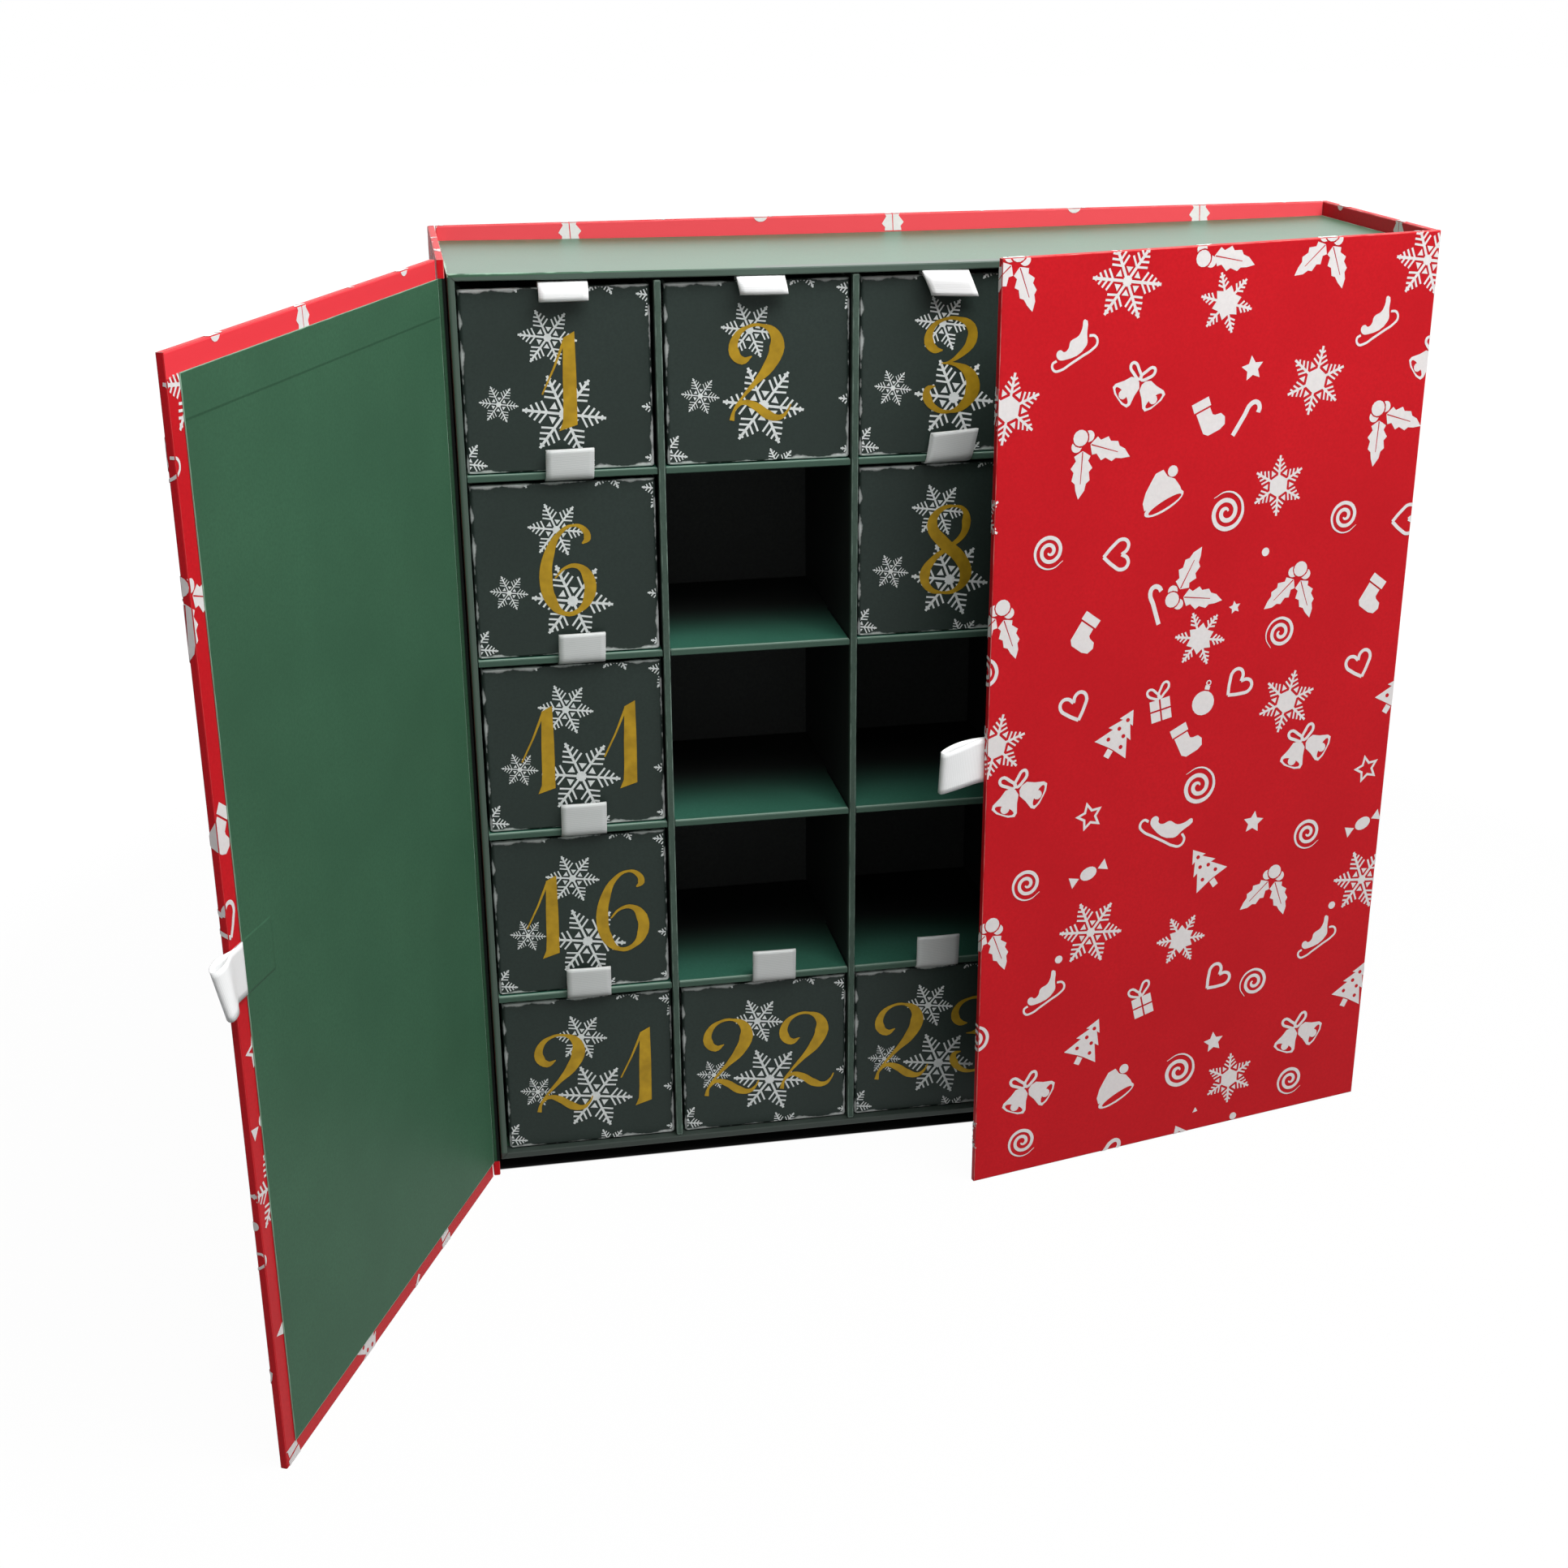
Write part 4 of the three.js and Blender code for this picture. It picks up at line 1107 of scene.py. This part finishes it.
def greyed_front(parts, half, colour, reach=0.3, below=None):
    """Greys a dyed paper's front edge as far back as its reach; for the tray, below is where that ends."""
    made, tree, surface, edge, bump = parts
    place = add(tree, "ShaderNodeSeparateXYZ", {0: edge.outputs["Place"]}).outputs
    cut = add(tree, "ShaderNodeMath", {0: place[1], 1: (reach - half[1]) * MM},
              operation="LESS_THAN").outputs[0]
    grey = linear(colour)
    if below:
        low = add(tree, "ShaderNodeMath", {0: place[2], 1: below * MM}, operation="LESS_THAN").outputs[0]
        cut = add(tree, "ShaderNodeMath", {0: cut, 1: low}, operation="MULTIPLY").outputs[0]
        # The wrapped outer arris keeps the paper's green.
        outer = add(tree, "ShaderNodeMapRange",
                    {0: edge.outputs["Distance"], 1: 0.6 * MM, 2: 1.1 * MM}).outputs[0]
        grey = add(tree, "ShaderNodeMix", {0: outer, 6: linear("#2b4638"), 7: grey},
                   data_type="RGBA").outputs[2]
        # The bottom wall lies in the shade of the drawers and is darker.
        wall = (BOTTOM_WALL - half[2]) * MM
        base = add(tree, "ShaderNodeMath", {0: place[2], 1: wall}, operation="LESS_THAN").outputs[0]
        grey = add(tree, "ShaderNodeMix", {0: base, 6: grey, 7: linear("#313a35")},
                   data_type="RGBA").outputs[2]
    overlay(tree, surface, cut, grey)
    return made


TRAY_GREY_REACH = 5.0
TRAY_TOP_CLEAR = 1.0
tray_paper = dyed_paper("green dyed paper, tray", tray_middle, tray_half, wear=0.7, rough=0.4, specular=0.33)
dress("tray_frame",
      greyed_front(tray_paper, tray_half, "#4a5c52", TRAY_GREY_REACH, tray_half[2] - TRAY_TOP_CLEAR))
GRID_FRONT = TRAY_FRONT + 0.6
CELL_BACK = TRAY_BACK - 1.3
GRID_MIDDLE = 150.0
DIVIDER_HALF_HEIGHT = 143.0
SHELF_HALF_WIDTH = 147.45
SHELF_INSET = 0.5
# Depths behind the front edge over which shelves and dividers are painted into black: painted shade in the
# cells.
SHELF_SHADE = (4.0, 45.0)
DIVIDER_SHADE = (0.6, 4.0)
PANEL_HALF = (147.0, 0.5, 145.0)


def grid_paper(name, centre, half, shade):
    # The grid's card: greyed green on its cut front edge, and painted black inside the cells as painted
    # shade.
    return worn_board(
        name, "#4b5d53", "#415249", "#81958a", centre, half, wear=0.45, rough=0.55, specular=0.2,
        shade=shade)[0]


for n in range(1, COLUMNS):
    x = (n - COLUMNS / 2) * COLUMN_STEP
    half = (GRID_BOARD / 2, (CELL_BACK - GRID_FRONT) / 2, DIVIDER_HALF_HEIGHT)
    centre = (x, (CELL_BACK + GRID_FRONT) / 2, GRID_MIDDLE)
    dress(f"divider_{n}", grid_paper(f"grid card, divider {n}", centre, half, DIVIDER_SHADE))
    z = CELL_FLOOR + n * ROW_STEP - GRID_BOARD / 2
    half = (SHELF_HALF_WIDTH, (CELL_BACK - GRID_FRONT - SHELF_INSET) / 2, GRID_BOARD / 2)
    centre = (0, (CELL_BACK + GRID_FRONT + SHELF_INSET) / 2, z)
    shelf_paper = dyed_paper(
        f"green dyed paper, shelf {n}", centre, half, wear=0.5, shade=SHELF_SHADE, colour="#326051",
        deep="#2b5747")
    # A pale strip 1.3 mm back over the top front: partly the greyed cut edge, partly a painted highlight
    # where the top faces the light.
    greyed_front(shelf_paper, half, "#83998c", 1.3)
    dress(f"shelf_{n}", greyed_front(shelf_paper, half, "#435b4f"))

dress("tray_back_panel", worn_board(
    # Black card: nearly no gloss, a faint grey bloom.
    "black card", "#434544", "#383a39", "#505251", (0, TRAY_BACK - PANEL_HALF[1], GRID_MIDDLE), PANEL_HALF,
    wear=0.2, rough=0.7, specular=0.3)[0])
for number in DRAWERS:
    # Coated folding card in dark green-black: smooth with a soft gloss, its folds scuffed to grey-white.
    corner = drawer_corner(number)
    centre = corner + Vector((DRAWER_WIDTH / 2, DRAWER_DEPTH / 2, DRAWER_HEIGHT / 2))
    half = (DRAWER_WIDTH / 2, DRAWER_DEPTH / 2, DRAWER_HEIGHT / 2)
    dress(f"drawer_{number:02d}", worn_board(
        f"dark folding card {number:02d}", "#2c3733", "#27312d", "#eef2f0", centre, half,
        wear=1.4, rough=0.45, specular=0.2)[0])


# Floor, light and camera

# These are in metres. The shadow patch is a painted shadow, black under the tray: how far its middle lies
# before the origin, and where it fades out to each side and to the front and back.
FLOOR_HALF = 6.0
FLOOR_DROP = 0.0002
SHADOW_PATCH_MIDDLE = 0.0395
SHADOW_PATCH_ACROSS = (0.1515, 0.1525)
SHADOW_PATCH_DEEP = (0.0366, 0.0372)

floor_work = bmesh.new()
bmesh.ops.create_grid(floor_work, x_segments=2, y_segments=2, size=FLOOR_HALF)
floor_mesh = as_mesh("floor", floor_work)
floor = in_scene("floor", floor_mesh)
floor.location.z = -FLOOR_DROP


def seen_directly(tree):
    """1 for what the camera, a reflection or clear glass sees, and 0 for what lights the object."""
    path = add(tree, "ShaderNodeLightPath").outputs
    seen = add(tree, "ShaderNodeMath", {0: path["Is Camera Ray"], 1: path["Is Glossy Ray"]},
               operation="MAXIMUM")
    seen = add(tree, "ShaderNodeMath", {0: seen.outputs[0], 1: path["Is Transmission Ray"]},
               operation="MAXIMUM")
    return seen.outputs[0]


# A white sweep: to the camera it is plain white with the object's shadow on it, and painted black under the
# tray.
sweep, sweep_tree, sweep_surface = material("white sweep", Roughness=0.9, Specular_IOR_Level=0.1)
sweep_place = add(sweep_tree, "ShaderNodeTexCoord").outputs["Object"]
shadow_patch = add(sweep_tree, "ShaderNodeMapping",
                {"Vector": sweep_place, "Location": (0, -SHADOW_PATCH_MIDDLE, 0)}, vector_type="TEXTURE")
shadow_patch = add(sweep_tree, "ShaderNodeVectorMath", {0: shadow_patch.outputs[0]},
                operation="ABSOLUTE").outputs[0]
shadow_patch = add(sweep_tree, "ShaderNodeSeparateXYZ", {0: shadow_patch}).outputs
outside_x = add(sweep_tree, "ShaderNodeMapRange",
                {0: shadow_patch[0], 1: SHADOW_PATCH_ACROSS[0], 2: SHADOW_PATCH_ACROSS[1]}).outputs[0]
outside_y = add(sweep_tree, "ShaderNodeMapRange",
                {0: shadow_patch[1], 1: SHADOW_PATCH_DEEP[0], 2: SHADOW_PATCH_DEEP[1]}).outputs[0]
outside = add(sweep_tree, "ShaderNodeMath", {0: outside_x, 1: outside_y}, operation="MAXIMUM").outputs[0]
# Painted shadow: the base colour is near black inside the patch under the tray.
sweep_tone = add(sweep_tree, "ShaderNodeMix",
                 {0: outside, 6: (0.01, 0.01, 0.01, 1), 7: (0.22, 0.22, 0.22, 1)}, data_type="RGBA")
sweep_tree.links.new(sweep_tone.outputs[2], sweep_surface.inputs["Base Color"])
share = add(sweep_tree, "ShaderNodeMath", {0: seen_directly(sweep_tree), 1: outside},
            operation="MULTIPLY").outputs[0]
distance = add(sweep_tree, "ShaderNodeVectorMath", {0: sweep_place}, operation="LENGTH").outputs["Value"]
white_share = add(sweep_tree, "ShaderNodeMapRange", {0: distance, 1: 0.35, 2: 0.7, 3: 0.9, 4: 1.0}).outputs[0]
share = add(sweep_tree, "ShaderNodeMath", {0: share, 1: white_share}, operation="MULTIPLY").outputs[0]
glow = add(sweep_tree, "ShaderNodeEmission", {"Color": (1, 1, 1, 1), "Strength": 1.08}).outputs[0]
mixed = add(sweep_tree, "ShaderNodeMixShader", {0: share, 1: sweep_surface.outputs[0], 2: glow}).outputs[0]
sweep_tree.links.new(mixed, sweep_tree.nodes["Material Output"].inputs["Surface"])
floor_mesh.materials.append(sweep)

world = bpy.data.worlds.new("studio")
world.use_nodes = True
bpy.context.scene.world = world
air = world.node_tree
fill = air.nodes["Background"]
fill.inputs["Color"].default_value = (0.97, 0.98, 1.0, 1)
fill.inputs["Strength"].default_value = 0.155
white = add(air, "ShaderNodeBackground", {"Color": (1, 1, 1, 1), "Strength": 1.0})
both = add(air, "ShaderNodeMixShader", {0: seen_directly(air), 1: fill.outputs[0], 2: white.outputs[0]})
air.links.new(both.outputs[0], air.nodes["World Output"].inputs["Surface"])


def softbox(name, place, target, width, height, watts):
    lamp = bpy.data.lights.new(name, "AREA")
    lamp.shape = "RECTANGLE"
    lamp.size = width
    lamp.size_y = height
    lamp.energy = watts
    holder = in_scene(name, lamp)
    aim = (Vector(target) - Vector(place)).to_track_quat("-Z", "Y")
    holder.matrix_world = Matrix.Translation(place) @ aim.to_matrix().to_4x4()


softbox("key", (0.2, -0.55, 1.1), (0, -0.06, 0.17), 0.9, 0.6, 13.7)
softbox("right", (0.36, -0.36, 0.82), (-0.1, -0.1, 0.2), 0.5, 0.4, 1.8)
softbox("front", (-0.5, -1.7, 0.9), (0, 0, 0.18), 1.2, 1.0, 0.35)
softbox("back", (0.1, 1.6, 0.9), (0, 0, 0.25), 2.4, 1.0, 8.0)

camera_data = bpy.data.cameras.new("camera")
camera_data.sensor_width = 36.0
camera_data.lens = CAMERA_LENS
camera = in_scene("camera", camera_data)
camera.matrix_world = (
    Matrix.Translation(Vector(CAMERA_PLACE) * MM)
    @ spun(CAMERA_YAW)
    @ spun(CAMERA_PITCH, "X")
    @ spun(CAMERA_ROLL, "Y")
    @ spun(90, "X")
)
bpy.context.scene.camera = camera
bpy.context.scene.view_settings.view_transform = "Standard"
